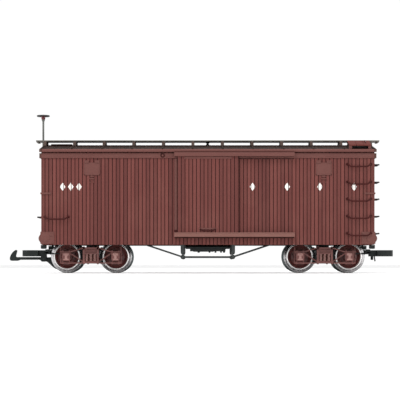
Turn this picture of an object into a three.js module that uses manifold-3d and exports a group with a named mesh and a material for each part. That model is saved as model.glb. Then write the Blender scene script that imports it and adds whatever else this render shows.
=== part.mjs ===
// A garden-railway model of a narrow-gauge wooden box car on two arch-bar bogies.
// Millimetres, +Z up. X runs along the car, -Y is the near side, and Z = 0 is the lowest
// point of the wheel flanges. The origin is under the middle of the overall length.
import * as THREE from 'three';
import { mergeVertices } from 'three/addons/utils/BufferGeometryUtils.js';
import Module from 'manifold-3d';

const wasm = await Module();
wasm.setup();

// ---------------------------------------------------------------- driving dimensions
const GAP = 0.3; // clearance between pieces that meet

// The hook stands out at one end only, so the body's middle is off the origin.
const HOOK_REACH = 214.3;
const LOOP_REACH = 200.7;
const BODY_SHIFT = (HOOK_REACH - LOOP_REACH) / 2;

// Body shell
const BODY_HALF_LENGTH = 175.5;
const BODY_HALF_WIDTH = 56;
const WALL = 2;
const SILL_Z = 30; // bottom edge of the walls
const WALL_TOP_Z = 127;
const BOARD_TRIM = { z: [121, 126.2], halfLength: 177.5, halfWidth: 57.2 };
const INNER_HALF_LENGTH = BODY_HALF_LENGTH - WALL - GAP;
const INNER_HALF_WIDTH = BODY_HALF_WIDTH - WALL - GAP;
const IRON_PROUD = 1; // how far the corner irons stand out from the boards
const CORNER_IRONS = [
  { z: [30.7, 43.6], along: 161.8, across: 42 },
  { z: [83, 85], along: 165, across: 48 },
];

// Roof
const EAVE_Z = 127.3;
const FASCIA_TOP_Z = 130.5;
const RIDGE_Z = 138.3;
const ROOF_HALF_WIDTH = 59.5;
const ROOF_HALF_LENGTH = 177.5;
const ROOF_SKIN = 2.5;
const ROOF_SLOPE = (RIDGE_Z - FASCIA_TOP_Z) / ROOF_HALF_WIDTH;

// Roofwalk on twelve saddles
const WALK_TOP_Z = 142.8;
const WALK_THICK = 1.2;
const WALK_HALF_WIDTH = 13;
const WALK_HALF_LENGTH = 185;
const SADDLE_PITCH = 31.84;
const SADDLE_WIDTH = 3.2;
const SADDLE_REACH = 17;

// Corner platforms beside the roofwalk
const PLATFORM = { x: [148.6, 172.2], y: [-57, -30], zOuter: 135.5, zInner: 141.4, thick: 1.5 };

// Floor stack
const FLOOR_Z = [38.5, 40.5];
const BALLAST_Z = [40.8, 42];
const DECK_Z = [42.3, 43.3];

// Sliding doors, on both sides
const DOOR_HALF_WIDTH = 32;
const DOOR_Y = [58.2, 60.1];
const DOOR_Z = [40.9, 124.7];
const DOORWAY_HALF_WIDTH = 29.5;
const DOORWAY_Z = [43.5, 120.7];
const TRACK_X = [-35.4, 91.2];
const TRACK_OUT = 62;
const TRACK_LIP_IN = 60.4;

// Hatches moulded on the side walls
const HATCH_X = 122.1;
const HATCH_HALF_WIDTH = 8.5;
const HATCH_Z = [103.2, 116.2];

// Grab irons
const RUNG_Z = [112.2, 93.7, 75.8, 57.6, 39.5]; // on the side
const END_RUNG_RISE = 2.4; // how far an end rung is above the side rung
const RUNG_X = [146, 172.6];
const LONE_GRAB_Z = 56.8;
const GRAB_RADIUS = 0.8;

// Brake staff and hand wheel, at the left end
const STAFF = { x: -179.6, y: 18, radius: 1.05, z: [28, 169.8] };
const STAFF_BRACKET_Z = [44, 113];
const HAND_WHEEL = { radius: 6.2, rim: 0.95, rimZ: 171.3, hubZ: [170.1, 173], hub: 2, spokes: 5 };

// Truss rods and queen posts
const POST_X = 26.6;
const POST_Y = 47;
const TRUSS_Z = 17;
const TRUSS_RADIUS = 0.95;
const FOOT_BALL_RADIUS = 2.4; // under each queen post
const POST_RADIUS = 2.3;
const TRUSS_ANCHOR = { x: 86, z: 36.7 };

// Bogies
const BOGIE_X = 124.4;
const AXLE_OFFSET = 26.2;
const FLANGE_RADIUS = 17.5;
const TREAD_RADIUS = 15;
const TYRE_BORE = 12.3;
const WHEEL_BACK_Y = 20;
const WHEEL_FACE_Y = 27;
const AXLE_Z = FLANGE_RADIUS;
const PIVOT_RADIUS = 1.5;
const BOLSTER_Z = [17, 25];
const FRAME_Y = [35, 38.4];
const JOURNAL = { half: 4.55, y: [33.6, 40.2], z: [12.7, 21.8], bore: 1.55, boreDepth: 36.6 };

// Couplers, in a bogie's own frame with +X outwards
const LOOP = { x: [58.6, LOOP_REACH - BOGIE_X], halfWidth: 10, wall: 2.6, z: [17.7, 24.6] };
const ARM_Z = [20.6, 24.4];
const GUARD_Z = [19.8, 25.3];
const HOOK_PIVOT = { x: 53, z: 14.9 };

// ---------------------------------------------------------------- materials
const paint = (color, roughness, metalness = 0) => ({ color, roughness, metalness });
const BODY_BROWN = paint(0x6a3a35, 0.62);
const ROOF_BROWN = paint(0x3a2a28, 0.7);
const WALK_GREY = paint(0x6b6562, 0.75);
const FRAME_BROWN = paint(0x7a4a42, 0.6);
const BLACK = paint(0x23262a, 0.55);
const STEEL = paint(0xc9cdd2, 0.25, 1);
const ZINC = paint(0x8f9296, 0.4, 1);
const RED = paint(0x7c2224, 0.5);

// ---------------------------------------------------------------- shapes
const BASIS = {
  xz: new THREE.Matrix4().makeBasis(
    new THREE.Vector3(1, 0, 0), new THREE.Vector3(0, 0, 1), new THREE.Vector3(0, -1, 0)),
  yz: new THREE.Matrix4().makeBasis(
    new THREE.Vector3(0, 1, 0), new THREE.Vector3(0, 0, 1), new THREE.Vector3(1, 0, 0)),
};

const block = ([x0, x1], [y0, y1], [z0, z1]) =>
  new THREE.BoxGeometry(x1 - x0, y1 - y0, z1 - z0)
    .translate((x0 + x1) / 2, (y0 + y1) / 2, (z0 + z1) / 2);

// A round bar between two points.
function bar(from, to, radius, sides = 10, endRadius = radius) {
  const start = new THREE.Vector3(...from);
  const run = new THREE.Vector3(...to).sub(start);
  const turn = new THREE.Quaternion().setFromUnitVectors(
    new THREE.Vector3(0, 1, 0), run.clone().normalize());
  const middle = start.addScaledVector(run, 0.5);
  return new THREE.CylinderGeometry(endRadius, radius, run.length(), sides)
    .applyQuaternion(turn)
    .translate(middle.x, middle.y, middle.z);
}

const ball = ([x, y, z], radius, sides = 10) =>
  new THREE.SphereGeometry(radius, sides, sides / 2).translate(x, y, z);

const outline = (points) => new THREE.Shape(points.map(([a, b]) => new THREE.Vector2(a, b)));

// A flat plate with its outline in x and z, between two values of y.
function plateXZ(shape, [y0, y1]) {
  return new THREE.ExtrudeGeometry(shape, { depth: y1 - y0, bevelEnabled: false, curveSegments: 6 })
    .applyMatrix4(BASIS.xz)
    .translate(0, y1, 0);
}

// A straight section with its outline in y and z, between two values of x.
function sectionYZ(points, [x0, x1]) {
  return new THREE.ExtrudeGeometry(outline(points), { depth: x1 - x0, bevelEnabled: false })
    .applyMatrix4(BASIS.yz)
    .translate(x0, 0, 0);
}

// A turned piece about the Y axis, from [radius, y] points.
const turned = (points, segments) =>
  new THREE.LatheGeometry(points.map(([r, y]) => new THREE.Vector2(r, y)), segments);

// ---------------------------------------------------------------- joining and cutting
function solidOf(geometry) {
  const bare = geometry.clone();
  bare.deleteAttribute('normal');
  bare.deleteAttribute('uv');
  const merged = mergeVertices(bare, 1e-4);
  const corners = Array.from(merged.index.array);
  const kept = [];
  for (let i = 0; i < corners.length; i += 3) {
    const [a, b, c] = corners.slice(i, i + 3);
    if (a !== b && b !== c && c !== a) kept.push(a, b, c);
  }
  return new wasm.Manifold(new wasm.Mesh({
    numProp: 3,
    vertProperties: new Float32Array(merged.attributes.position.array),
    triVerts: new Uint32Array(kept),
  }));
}

function geometryOf(solid) {
  const mesh = solid.getMesh();
  const geometry = new THREE.BufferGeometry();
  geometry.setAttribute('position', new THREE.BufferAttribute(mesh.vertProperties, 3));
  geometry.setIndex(new THREE.BufferAttribute(mesh.triVerts, 1));
  return geometry;
}

const join = (...pieces) => geometryOf(pieces.map(solidOf).reduce((a, b) => a.add(b)));
const cut = (piece, ...tools) =>
  geometryOf(tools.map(solidOf).reduce((a, b) => a.subtract(b), solidOf(piece)));

// ---------------------------------------------------------------- the scene graph
const car = new THREE.Group();
const body = new THREE.Group(); // everything, with its X measured from the body's middle
body.position.x = BODY_SHIFT;
car.add(body);

const farSide = new THREE.Group(); // the near side turned half round about Z
farSide.rotation.z = Math.PI;
body.add(farSide);

function add(parent, name, geometry, look) {
  const mesh = new THREE.Mesh(geometry, new THREE.MeshStandardMaterial(look));
  mesh.name = name;
  parent.add(mesh);
}

// Adds a piece of the near side or right end, and its copy half a turn round.
function addTwice(name, copyName, makeGeometry, look) {
  add(body, name, makeGeometry(), look);
  add(farSide, copyName, makeGeometry(), look);
}

const mirrored = ([low, high]) => [-high, -low];
const roofTop = (y) => RIDGE_Z - ROOF_SLOPE * Math.abs(y);

// ---------------------------------------------------------------- floor
// A sheet that fills the inside of the walls.
const innerSheet = (z) => block(
  [-INNER_HALF_LENGTH, INNER_HALF_LENGTH], [-INNER_HALF_WIDTH, INNER_HALF_WIDTH], z);

function floorPan() {
  const plate = innerSheet(FLOOR_Z);
  const bosses = [-BOGIE_X, BOGIE_X].map((x) =>
    bar([x, 0, BOLSTER_Z[1] + GAP], [x, 0, FLOOR_Z[0] + 0.5], 7, 20));
  const bores = [-BOGIE_X, BOGIE_X].map((x) =>
    bar([x, 0, BOLSTER_Z[1]], [x, 0, FLOOR_Z[0]], PIVOT_RADIUS + GAP, 12));
  return cut(join(plate, ...bosses), ...bores);
}

function pivotScrew(x) {
  const head = bar([x, 0, BOLSTER_Z[0] - 2.4], [x, 0, BOLSTER_Z[0] - GAP], 3.2, 12);
  const shank = bar([x, 0, BOLSTER_Z[0] - 1], [x, 0, FLOOR_Z[0] - 2], PIVOT_RADIUS, 12);
  return join(head, shank);
}

// ---------------------------------------------------------------- walls
function sideWall() {
  const face = outline([
    [-INNER_HALF_LENGTH, SILL_Z], [INNER_HALF_LENGTH, SILL_Z],
    [INNER_HALF_LENGTH, WALL_TOP_Z], [-INNER_HALF_LENGTH, WALL_TOP_Z]]);
  const [z0, z1] = DOORWAY_Z;
  const doorway = [
    [-DOORWAY_HALF_WIDTH, z0], [-DOORWAY_HALF_WIDTH, z1],
    [DOORWAY_HALF_WIDTH, z1], [DOORWAY_HALF_WIDTH, z0]];
  face.holes.push(new THREE.Path(doorway.map(([x, z]) => new THREE.Vector2(x, z))));
  const outer = -BODY_HALF_WIDTH;
  const inside = outer + 0.5;
  const pieces = [plateXZ(face, [outer, outer + WALL])];
  pieces.push(block([TRACK_X[0], -DOOR_HALF_WIDTH - GAP], [outer - 1.8, inside], [43, 120.6]));
  for (const side of [-1, 1]) {
    const x = side * HATCH_X;
    const panel = [x - HATCH_HALF_WIDTH, x + HATCH_HALF_WIDTH];
    pieces.push(block(panel, [outer - 0.7, inside], HATCH_Z));
    pieces.push(block([x - 2, x + 2], [outer - 1.2, inside], [98.6, 101.6]));
    for (const hinge of [-6.3, 6.3]) {
      pieces.push(block([x + hinge - 1.4, x + hinge + 1.4], [outer - 1.3, inside], [115, 119]));
    }
  }
  return join(...pieces);
}

// The right-hand end wall. It is a gabled plate, with plates and straps round its corners.
function endWall() {
  const gable = outline([
    [-BODY_HALF_WIDTH, SILL_Z], [BODY_HALF_WIDTH, SILL_Z], [BODY_HALF_WIDTH, WALL_TOP_Z],
    [0, WALL_TOP_Z + ROOF_SLOPE * BODY_HALF_WIDTH], [-BODY_HALF_WIDTH, WALL_TOP_Z]]);
  const pieces = [
    new THREE.ExtrudeGeometry(gable, { depth: WALL, bevelEnabled: false })
      .applyMatrix4(BASIS.yz)
      .translate(BODY_HALF_LENGTH - WALL, 0, 0)];
  const wrap = BODY_HALF_WIDTH + IRON_PROUD;
  const proud = BODY_HALF_LENGTH + IRON_PROUD;
  for (const flip of [(range) => range, mirrored]) {
    for (const { z, along, across } of CORNER_IRONS) {
      pieces.push(block([along, proud], flip([BODY_HALF_WIDTH + GAP, wrap]), z));
      pieces.push(block([BODY_HALF_LENGTH - 1, proud], flip([across, wrap]), z));
    }
  }
  return join(...pieces);
}

function leftEndWall() {
  const wall = endWall().rotateZ(Math.PI);
  const brackets = STAFF_BRACKET_Z.map((z) => block(
    [STAFF.x - 2.2, -BODY_HALF_LENGTH + 1], [STAFF.y - 2.2, STAFF.y + 2.2], [z, z + 1.6]));
  const bore = bar([STAFF.x, STAFF.y, 40], [STAFF.x, STAFF.y, 118], STAFF.radius + GAP, 12);
  return cut(join(wall, ...brackets), bore);
}

// The flat band under the eaves, all round the body.
function letterboard() {
  const ring = ({ halfLength, halfWidth }) => [
    [-halfLength, -halfWidth], [halfLength, -halfWidth],
    [halfLength, halfWidth], [-halfLength, halfWidth]];
  const face = outline(ring(BOARD_TRIM));
  const inner = ring({ halfLength: BODY_HALF_LENGTH + GAP, halfWidth: BODY_HALF_WIDTH + GAP });
  face.holes.push(new THREE.Path(inner.reverse().map(([x, y]) => new THREE.Vector2(x, y))));
  const [z0, z1] = BOARD_TRIM.z;
  return new THREE.ExtrudeGeometry(face, { depth: z1 - z0, bevelEnabled: false })
    .translate(0, 0, z0);
}

// ---------------------------------------------------------------- roof
function roof() {
  const inner = BODY_HALF_WIDTH + 0.8;
  const innerZ = roofTop(inner) - ROOF_SKIN;
  return sectionYZ([
    [-ROOF_HALF_WIDTH, EAVE_Z], [-inner, EAVE_Z], [-inner, innerZ],
    [0, RIDGE_Z - ROOF_SKIN], [inner, innerZ], [inner, EAVE_Z],
    [ROOF_HALF_WIDTH, EAVE_Z], [ROOF_HALF_WIDTH, FASCIA_TOP_Z],
    [0, RIDGE_Z], [-ROOF_HALF_WIDTH, FASCIA_TOP_Z],
  ], [-ROOF_HALF_LENGTH, ROOF_HALF_LENGTH]);
}

function roofwalk() {
  const underside = WALK_TOP_Z - WALK_THICK;
  const pieces = [block(
    [-WALK_HALF_LENGTH, WALK_HALF_LENGTH], [-WALK_HALF_WIDTH, WALK_HALF_WIDTH],
    [underside, WALK_TOP_Z])];
  const foot = roofTop(SADDLE_REACH) + GAP;
  const saddle = [
    [-SADDLE_REACH, foot], [0, RIDGE_Z + GAP], [SADDLE_REACH, foot],
    [SADDLE_REACH, foot + 1.2], [WALK_HALF_WIDTH, underside + 0.5],
    [-WALK_HALF_WIDTH, underside + 0.5], [-SADDLE_REACH, foot + 1.2]];
  for (let i = -6; i < 6; i += 1) {
    const x = (i + 0.5) * SADDLE_PITCH;
    pieces.push(sectionYZ(saddle, [x - SADDLE_WIDTH / 2, x + SADDLE_WIDTH / 2]));
  }
  pieces.push(bar([0, 0, RIDGE_Z + GAP], [0, 0, underside + 0.5], 1.6, 10, 3));
  return join(...pieces);
}

// The near platform: a sloping board on two bearers that run in to the roofwalk.
function platform() {
  const { x, y: [outer, inner], zOuter, zInner, thick } = PLATFORM;
  const board = sectionYZ([
    [outer, zOuter - thick], [inner, zInner - thick], [inner, zInner], [outer, zOuter]], x);
  const stop = -SADDLE_REACH - 1;
  const bearer = [
    [outer + 1, roofTop(outer + 1) + GAP], [stop, roofTop(stop) + GAP], [stop, roofTop(stop) + 1.6],
    [inner, zInner - thick / 2], [outer + 1, zOuter - thick / 2]];
  return join(board, sectionYZ(bearer, [x[0], x[0] + 2]), sectionYZ(bearer, [x[1] - 2, x[1]]));
}

// ---------------------------------------------------------------- doors
function upperTrack() {
  return sectionYZ([
    [-TRACK_OUT, 122.7], [-TRACK_LIP_IN, 122.7], [-TRACK_LIP_IN, DOOR_Z[1] + GAP],
    [-BOARD_TRIM.halfWidth - GAP, DOOR_Z[1] + GAP], [-BOARD_TRIM.halfWidth - GAP, EAVE_Z - GAP],
    [-TRACK_OUT, EAVE_Z - GAP],
  ], TRACK_X);
}

function lowerTrack() {
  return sectionYZ([
    [-TRACK_OUT, 37.9], [-BODY_HALF_WIDTH - GAP, 37.9], [-BODY_HALF_WIDTH - GAP, DOOR_Z[0] - GAP],
    [-TRACK_LIP_IN, DOOR_Z[0] - GAP], [-TRACK_LIP_IN, 42.7], [-TRACK_OUT, 42.7],
  ], TRACK_X);
}

function door() {
  const panel = block([-DOOR_HALF_WIDTH, DOOR_HALF_WIDTH], mirrored(DOOR_Y), DOOR_Z);
  const handle = block([-8.5, 8.5], [-DOOR_Y[1] - 1.8, -DOOR_Y[0] - 0.5], [44, 46.5]);
  return join(panel, handle);
}

// ---------------------------------------------------------------- grab irons
// A bar that stands off a wall on two feet. Its ends are given in plan as [x, y], and
// `inward` is the way to the wall.
function grab([ax, ay], [bx, by], z, inward, footLength) {
  const along = new THREE.Vector2(bx - ax, by - ay).setLength(GRAB_RADIUS);
  const feet = [[ax, ay], [bx, by]].map(([x, y]) => bar(
    [x, y, z],
    [x + inward[0] * footLength, y + inward[1] * footLength, z], GRAB_RADIUS, 6));
  const rung = bar(
    [ax - along.x, ay - along.y, z], [bx + along.x, by + along.y, z], GRAB_RADIUS, 6);
  return join(rung, ...feet);
}

function sideLadder() {
  const y = -BODY_HALF_WIDTH - 3.2;
  const stileY = [-BODY_HALF_WIDTH - 2.1, -BODY_HALF_WIDTH - 1.3];
  const stileZ = [RUNG_Z.at(-1) - GRAB_RADIUS, RUNG_Z[0] + GRAB_RADIUS];
  const stiles = RUNG_X.map((x) => block([x - GRAB_RADIUS, x + GRAB_RADIUS], stileY, stileZ));
  const rungs = RUNG_Z.map((z) => grab([RUNG_X[0], y], [RUNG_X[1], y], z, [0, 1], 1.5));
  return join(...stiles, ...rungs);
}

function endLadder() {
  const x = BODY_HALF_LENGTH + 5.2;
  const ends = [-52, -28];
  const levels = RUNG_Z.map((z) => z + END_RUNG_RISE);
  const stileX = [BODY_HALF_LENGTH + 1.3, BODY_HALF_LENGTH + 2.1];
  const stileZ = [levels.at(-1) - GRAB_RADIUS, levels[0] + GRAB_RADIUS];
  const stiles = ends.map((y) => block(stileX, [y - GRAB_RADIUS, y + GRAB_RADIUS], stileZ));
  const rungs = levels.map((z) => grab([x, ends[0]], [x, ends[1]], z, [-1, 0], 3.6));
  return join(...stiles, ...rungs);
}

function loneSideGrab() {
  const y = -BODY_HALF_WIDTH - 3.2;
  return grab([-RUNG_X[1], y], [-RUNG_X[0], y], LONE_GRAB_Z, [0, 1], 2.9);
}

function loneEndGrab() {
  const x = BODY_HALF_LENGTH + 4.2;
  return grab([x, 28], [x, 52], LONE_GRAB_Z + END_RUNG_RISE, [-1, 0], 3.9);
}

// ---------------------------------------------------------------- hand brake
// The wheel lies flat on top of the staff.
function handWheel() {
  const { radius, rim, rimZ, hubZ, hub, spokes } = HAND_WHEEL;
  const rimSides = 6;
  const rimPoints = [];
  for (let i = 0; i < rimSides; i += 1) {
    const angle = (i / rimSides) * 2 * Math.PI;
    rimPoints.push([radius + rim * Math.cos(angle), rim * Math.sin(angle)]);
  }
  rimPoints.push(rimPoints[0]);
  const ring = turned(rimPoints, 20).rotateX(Math.PI / 2).translate(0, 0, rimZ);
  const pieces = [ring, bar([0, 0, hubZ[0]], [0, 0, hubZ[1]], hub, 12)];
  for (let i = 0; i < spokes; i += 1) {
    const angle = (i / spokes) * 2 * Math.PI;
    const tip = [radius * Math.cos(angle), radius * Math.sin(angle), rimZ];
    pieces.push(bar([0, 0, rimZ + 0.4], tip, 0.55, 6));
  }
  return join(...pieces).translate(STAFF.x, STAFF.y, 0);
}

function brakeStaff() {
  const { x, y, radius, z: [z0, z1] } = STAFF;
  const shaft = bar([x, y, z0], [x, y, z1], radius, 10);
  const collar = bar([x, y, 165.4], [x, y, z1], radius, 12, 2.2);
  const ratchet = bar([x, y, 115.2], [x, y, 117], 2.4, 12);
  return join(shaft, collar, ratchet);
}

// ---------------------------------------------------------------- underframe
function trussRod() {
  const { x, z } = TRUSS_ANCHOR;
  const points = [[-x, z], [-POST_X, TRUSS_Z], [POST_X, TRUSS_Z], [x, z]]
    .map(([px, pz]) => [px, -POST_Y, pz]);
  const pieces = [];
  for (let i = 0; i < 3; i += 1) {
    pieces.push(bar(points[i], points[i + 1], TRUSS_RADIUS, 8));
  }
  pieces.push(ball(points[1], FOOT_BALL_RADIUS), ball(points[2], FOOT_BALL_RADIUS));
  for (const end of [-x, x]) {
    pieces.push(block([end - 3, end + 3], [-POST_Y - 2, -POST_Y + 2], [34.8, FLOOR_Z[0] - GAP]));
  }
  return join(...pieces);
}

// A cross beam under the floor with a queen post at each end.
function queenPosts() {
  const beam = block(
    [POST_X - POST_RADIUS, POST_X + POST_RADIUS], [-50, 50], [31, FLOOR_Z[0] - GAP]);
  const posts = [-POST_Y, POST_Y].map((y) =>
    bar([POST_X, y, TRUSS_Z + FOOT_BALL_RADIUS + GAP], [POST_X, y, 32], POST_RADIUS, 12));
  return join(beam, ...posts);
}

function brakeGear() {
  const plate = block([-23.9, 23.9], [-43, 43], [26, 29.5]);
  const column = block([-10, 10], [-8, 8], [29, FLOOR_Z[0] - GAP]);
  const casing = block([-19, 18.9], [-41, -25], [23, 27]);
  const cylinder = bar([-16, 20, 27], [14, 20, 27], 4.2, 16);
  const bolts = [-9.7, 1.8, 8.2, 14.1, 17.4].map((x) =>
    bar([x, -33, 21.6], [x, -33, 24], 1.2, 8));
  return join(plate, column, casing, cylinder, ...bolts);
}

// A cross bar under the floor with a foot below the sill at each corner.
function endBeam() {
  const [x0, x1, x2] = [169.4, INNER_HALF_LENGTH - GAP, 176.4];
  const pieces = [block([x0, x1], [-INNER_HALF_WIDTH, INNER_HALF_WIDTH], [31, 34.5])];
  for (const y of [[-53, -45.4], [45.4, 53]]) {
    pieces.push(block([x0 + 1, x2], y, [25.5, SILL_Z - GAP]));
    pieces.push(block([x0 + 1, x1], y, [SILL_Z - 1, 32]));
  }
  return join(...pieces);
}

// ---------------------------------------------------------------- bogies
function bolster() {
  const beam = block([-7, 7], [-33.3, 33.3], BOLSTER_Z);
  return cut(beam, bar([0, 0, 16], [0, 0, 26], PIVOT_RADIUS + GAP, 12));
}

// A flat strap of even depth that follows a line of [x, z] points along its lower edge.
const strap = (line, depth) =>
  plateXZ(outline([...line, ...line.map(([x, z]) => [x, z + depth]).reverse()]), mirrored(FRAME_Y));

// An arch-bar side frame on the near side. Its arch bars and bottom tie bar run between the
// spring pack in the middle and the two journal boxes.
function sideFrame() {
  const end = 32.8;
  const halfPack = 8.5;
  const boxIn = AXLE_OFFSET - JOURNAL.half;
  const bothWays = (half) => [...half.map(([x, z]) => [-x, z]), ...half.slice().reverse()];
  const pieces = [
    strap(bothWays([[end, 21.8], [boxIn, 21.8], [halfPack, 25.9]]), 1.5),
    strap(bothWays([[boxIn + 1, 20.4], [halfPack, 11.6]]), 1.5),
    strap(bothWays([[end, 10]]), 1.2),
    block([-halfPack, halfPack], [-39.4, -33.6], [10.6, 27.6]),
    block([-3, 3], [-38.6, -34.6], [9.2, 11.5]),
  ];
  const bores = [];
  for (const side of [-1, 1]) {
    const x = side * AXLE_OFFSET;
    pieces.push(block([x - JOURNAL.half, x + JOURNAL.half], mirrored(JOURNAL.y), JOURNAL.z));
    const post = side * (end - 0.6);
    pieces.push(bar([post, -36.7, 10.5], [post, -36.7, 28.4], 0.5, 6));
    bores.push(bar([x, -JOURNAL.boreDepth, AXLE_Z], [x, -30, AXLE_Z], JOURNAL.bore, 8));
  }
  return cut(join(...pieces), ...bores);
}

// An axle with its two wheel centres.
function wheelCore() {
  const half = [
    [2, 20.6], [12, 21], [12, 26], [3.6, 25.4], [3.6, 27.6], [1.2, 28.4], [1.2, 36.3], [0, 36.3]];
  return turned([...half.map(([r, y]) => [r, -y]).reverse(), ...half], 16);
}

function tyre(side) {
  const ring = [
    [TYRE_BORE, WHEEL_BACK_Y], [FLANGE_RADIUS, WHEEL_BACK_Y], [FLANGE_RADIUS, 21],
    [TREAD_RADIUS, 22.4], [14.5, WHEEL_FACE_Y], [TYRE_BORE, WHEEL_FACE_Y],
    [TYRE_BORE, WHEEL_BACK_Y]];
  const points = side > 0 ? ring : ring.map(([r, y]) => [r, -y]).reverse();
  return turned(points, 24);
}

// The loop coupler, its arm over the outer axle and the cross beam with two guard posts.
// The hooked one has a fork for the hook's pin below it.
function coupler(hooked) {
  const [x0, x1] = LOOP.x;
  const radius = LOOP.halfWidth;
  const plan = (inset, bulge) => {
    const shape = new THREE.Shape();
    const half = radius - inset;
    shape.moveTo(x0 + inset, -half);
    shape.lineTo(x1 - inset - bulge, -half);
    shape.quadraticCurveTo(x1 - inset, -half, x1 - inset, 0);
    shape.quadraticCurveTo(x1 - inset, half, x1 - inset - bulge, half);
    shape.lineTo(x0 + inset, half);
    return shape;
  };
  const rise = (shape, [z0, z1]) =>
    new THREE.ExtrudeGeometry(shape, { depth: z1 - z0, bevelEnabled: false, curveSegments: 5 })
      .translate(0, 0, z0);
  const ring = cut(
    rise(plan(0, 7), LOOP.z), rise(plan(LOOP.wall, 5), [LOOP.z[0] - 1, LOOP.z[1] + 1]));
  const pieces = [
    ring,
    block([7.3, 52], [-5, 5], ARM_Z),
    block([50, x0 + 1], [-4.5, 4.5], LOOP.z),
    block([45, 49], [-32, 32], [ARM_Z[0], 22.6]),
    block([44, 49], [28, 32], GUARD_Z),
    block([44, 49], [-32, -28], GUARD_Z),
  ];
  if (!hooked) {
    pieces.push(bar([53.6, 0, 14], [53.6, 0, 18], 1.5, 10));
    pieces.push(bar([57, 0, 12.4], [56, 0, 18], 0.7, 8));
    return join(...pieces);
  }
  const { x, z } = HOOK_PIVOT;
  for (const y of [[-4.4, -2], [2, 4.4]]) {
    pieces.push(block([x - 3.2, x + 3.2], y, [z - 2.9, LOOP.z[0] + 0.5]));
  }
  return cut(join(...pieces), bar([x, -6, z], [x, 6, z], 1.2, 12));
}

// A flat lever with an upright claw at its outer end and a tail that slopes down behind the pin.
function hook() {
  const { x, z } = HOOK_PIVOT;
  const reach = HOOK_REACH - BOGIE_X;
  const claw = [
    [-11.5, 14.1], [-8, 13], [-1.5, 13], [0, 14.4], [-0.4, 17.6], [-1.9, 20.8], [-4, 23.2],
    [-6.2, 24.8], [-8, 24.5], [-7.9, 23], [-6.7, 18.2], [-7.6, 17.1],
  ].map(([dx, dz]) => [reach + dx, dz]);
  const tail = [
    [-7.8, 17], [-8.8, 13.1], [-11.3, 7.6], [-14.1, 4.8], [-13.4, 3.8], [-9.8, 6.4], [-4.3, 11.4],
  ].map(([dx, dz]) => [x + dx, dz]);
  const lever = outline([
    [x, 12.8], [x + 5, 14.1], ...claw, [x + 4.2, 17.1], [x + 2.5, 16.8], [x - 3.5, 16.8], ...tail]);
  const eye = bar([x, -1.6, z], [x, 1.6, z], 2.2, 14);
  return cut(join(plateXZ(lever, [-1.6, 1.6]), eye), bar([x, -3, z], [x, 3, z], 1.1, 12));
}

function hookPin() {
  const { x, z } = HOOK_PIVOT;
  return bar([x, -4.4, z], [x, 4.4, z], 0.8, 12);
}

// One bogie in its own frame, with +X towards its coupler.
function addBogie(end) {
  const hooked = end === 'left';
  const bogie = new THREE.Group();
  bogie.position.x = hooked ? -BOGIE_X : BOGIE_X;
  bogie.rotation.z = hooked ? Math.PI : 0;
  body.add(bogie);
  const [minusY, plusY] = hooked ? ['far', 'near'] : ['near', 'far'];

  add(bogie, `bolster_${end}`, bolster(), BLACK);
  add(bogie, `side_frame_${end}_${minusY}`, sideFrame(), FRAME_BROWN);
  add(bogie, `side_frame_${end}_${plusY}`, sideFrame().rotateZ(Math.PI), FRAME_BROWN);
  add(bogie, `coupler_${end}`, coupler(hooked), BLACK);
  for (const [place, x] of [['inner', -AXLE_OFFSET], ['outer', AXLE_OFFSET]]) {
    const wheelset = new THREE.Group();
    wheelset.position.set(x, 0, AXLE_Z);
    bogie.add(wheelset);
    add(wheelset, `axle_${end}_${place}`, wheelCore(), FRAME_BROWN);
    add(wheelset, `tyre_${end}_${place}_${minusY}`, tyre(-1), STEEL);
    add(wheelset, `tyre_${end}_${place}_${plusY}`, tyre(1), STEEL);
  }
  if (hooked) {
    add(bogie, 'coupler_hook', hook(), BLACK);
    add(bogie, 'hook_pin', hookPin(), ZINC);
  }
}

// ---------------------------------------------------------------- assembly
add(body, 'floor_pan', floorPan(), BLACK);
add(body, 'ballast_plate', block([-120, 120], [-45, 45], BALLAST_Z), ZINC);
add(body, 'cargo_floor', innerSheet(DECK_Z), BODY_BROWN);
add(body, 'pivot_screw_left', pivotScrew(-BOGIE_X), ZINC);
add(body, 'pivot_screw_right', pivotScrew(BOGIE_X), ZINC);

addTwice('side_wall_near', 'side_wall_far', sideWall, BODY_BROWN);
add(body, 'end_wall_right', endWall(), BODY_BROWN);
add(body, 'end_wall_left', leftEndWall(), BODY_BROWN);
add(body, 'letterboard', letterboard(), BODY_BROWN);

add(body, 'roof', roof(), ROOF_BROWN);
add(body, 'roofwalk', roofwalk(), WALK_GREY);
addTwice('platform_near', 'platform_far', platform, BODY_BROWN);

addTwice('upper_track_near', 'upper_track_far', upperTrack, BODY_BROWN);
addTwice('lower_track_near', 'lower_track_far', lowerTrack, BODY_BROWN);
addTwice('door_near', 'door_far', door, BODY_BROWN);

addTwice('side_ladder_near', 'side_ladder_far', sideLadder, BODY_BROWN);
addTwice('end_ladder_right', 'end_ladder_left', endLadder, ROOF_BROWN);
addTwice('side_grab_near', 'side_grab_far', loneSideGrab, BODY_BROWN);
addTwice('end_grab_right', 'end_grab_left', loneEndGrab, ROOF_BROWN);

add(body, 'brake_wheel', handWheel(), RED);
add(body, 'brake_staff', brakeStaff(), WALK_GREY);

addTwice('truss_rod_near', 'truss_rod_far', trussRod, BLACK);
addTwice('queen_posts_right', 'queen_posts_left', queenPosts, BLACK);
add(body, 'brake_gear', brakeGear(), BLACK);
addTwice('end_beam_right', 'end_beam_left', endBeam, BLACK);

addBogie('left');
addBogie('right');

export default car;
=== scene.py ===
"""A garden-railway box car: boarded walls, roofwalk, hand brake and arch-bar bogies.

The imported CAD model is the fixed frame. Everything here is built in millimetres in that same
frame, and is turned into metres as each mesh is made. The near side is -Y.
"""

import random
from math import cos, pi, radians, sin

import bmesh
import bpy
from mathutils import Matrix, Vector


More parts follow.
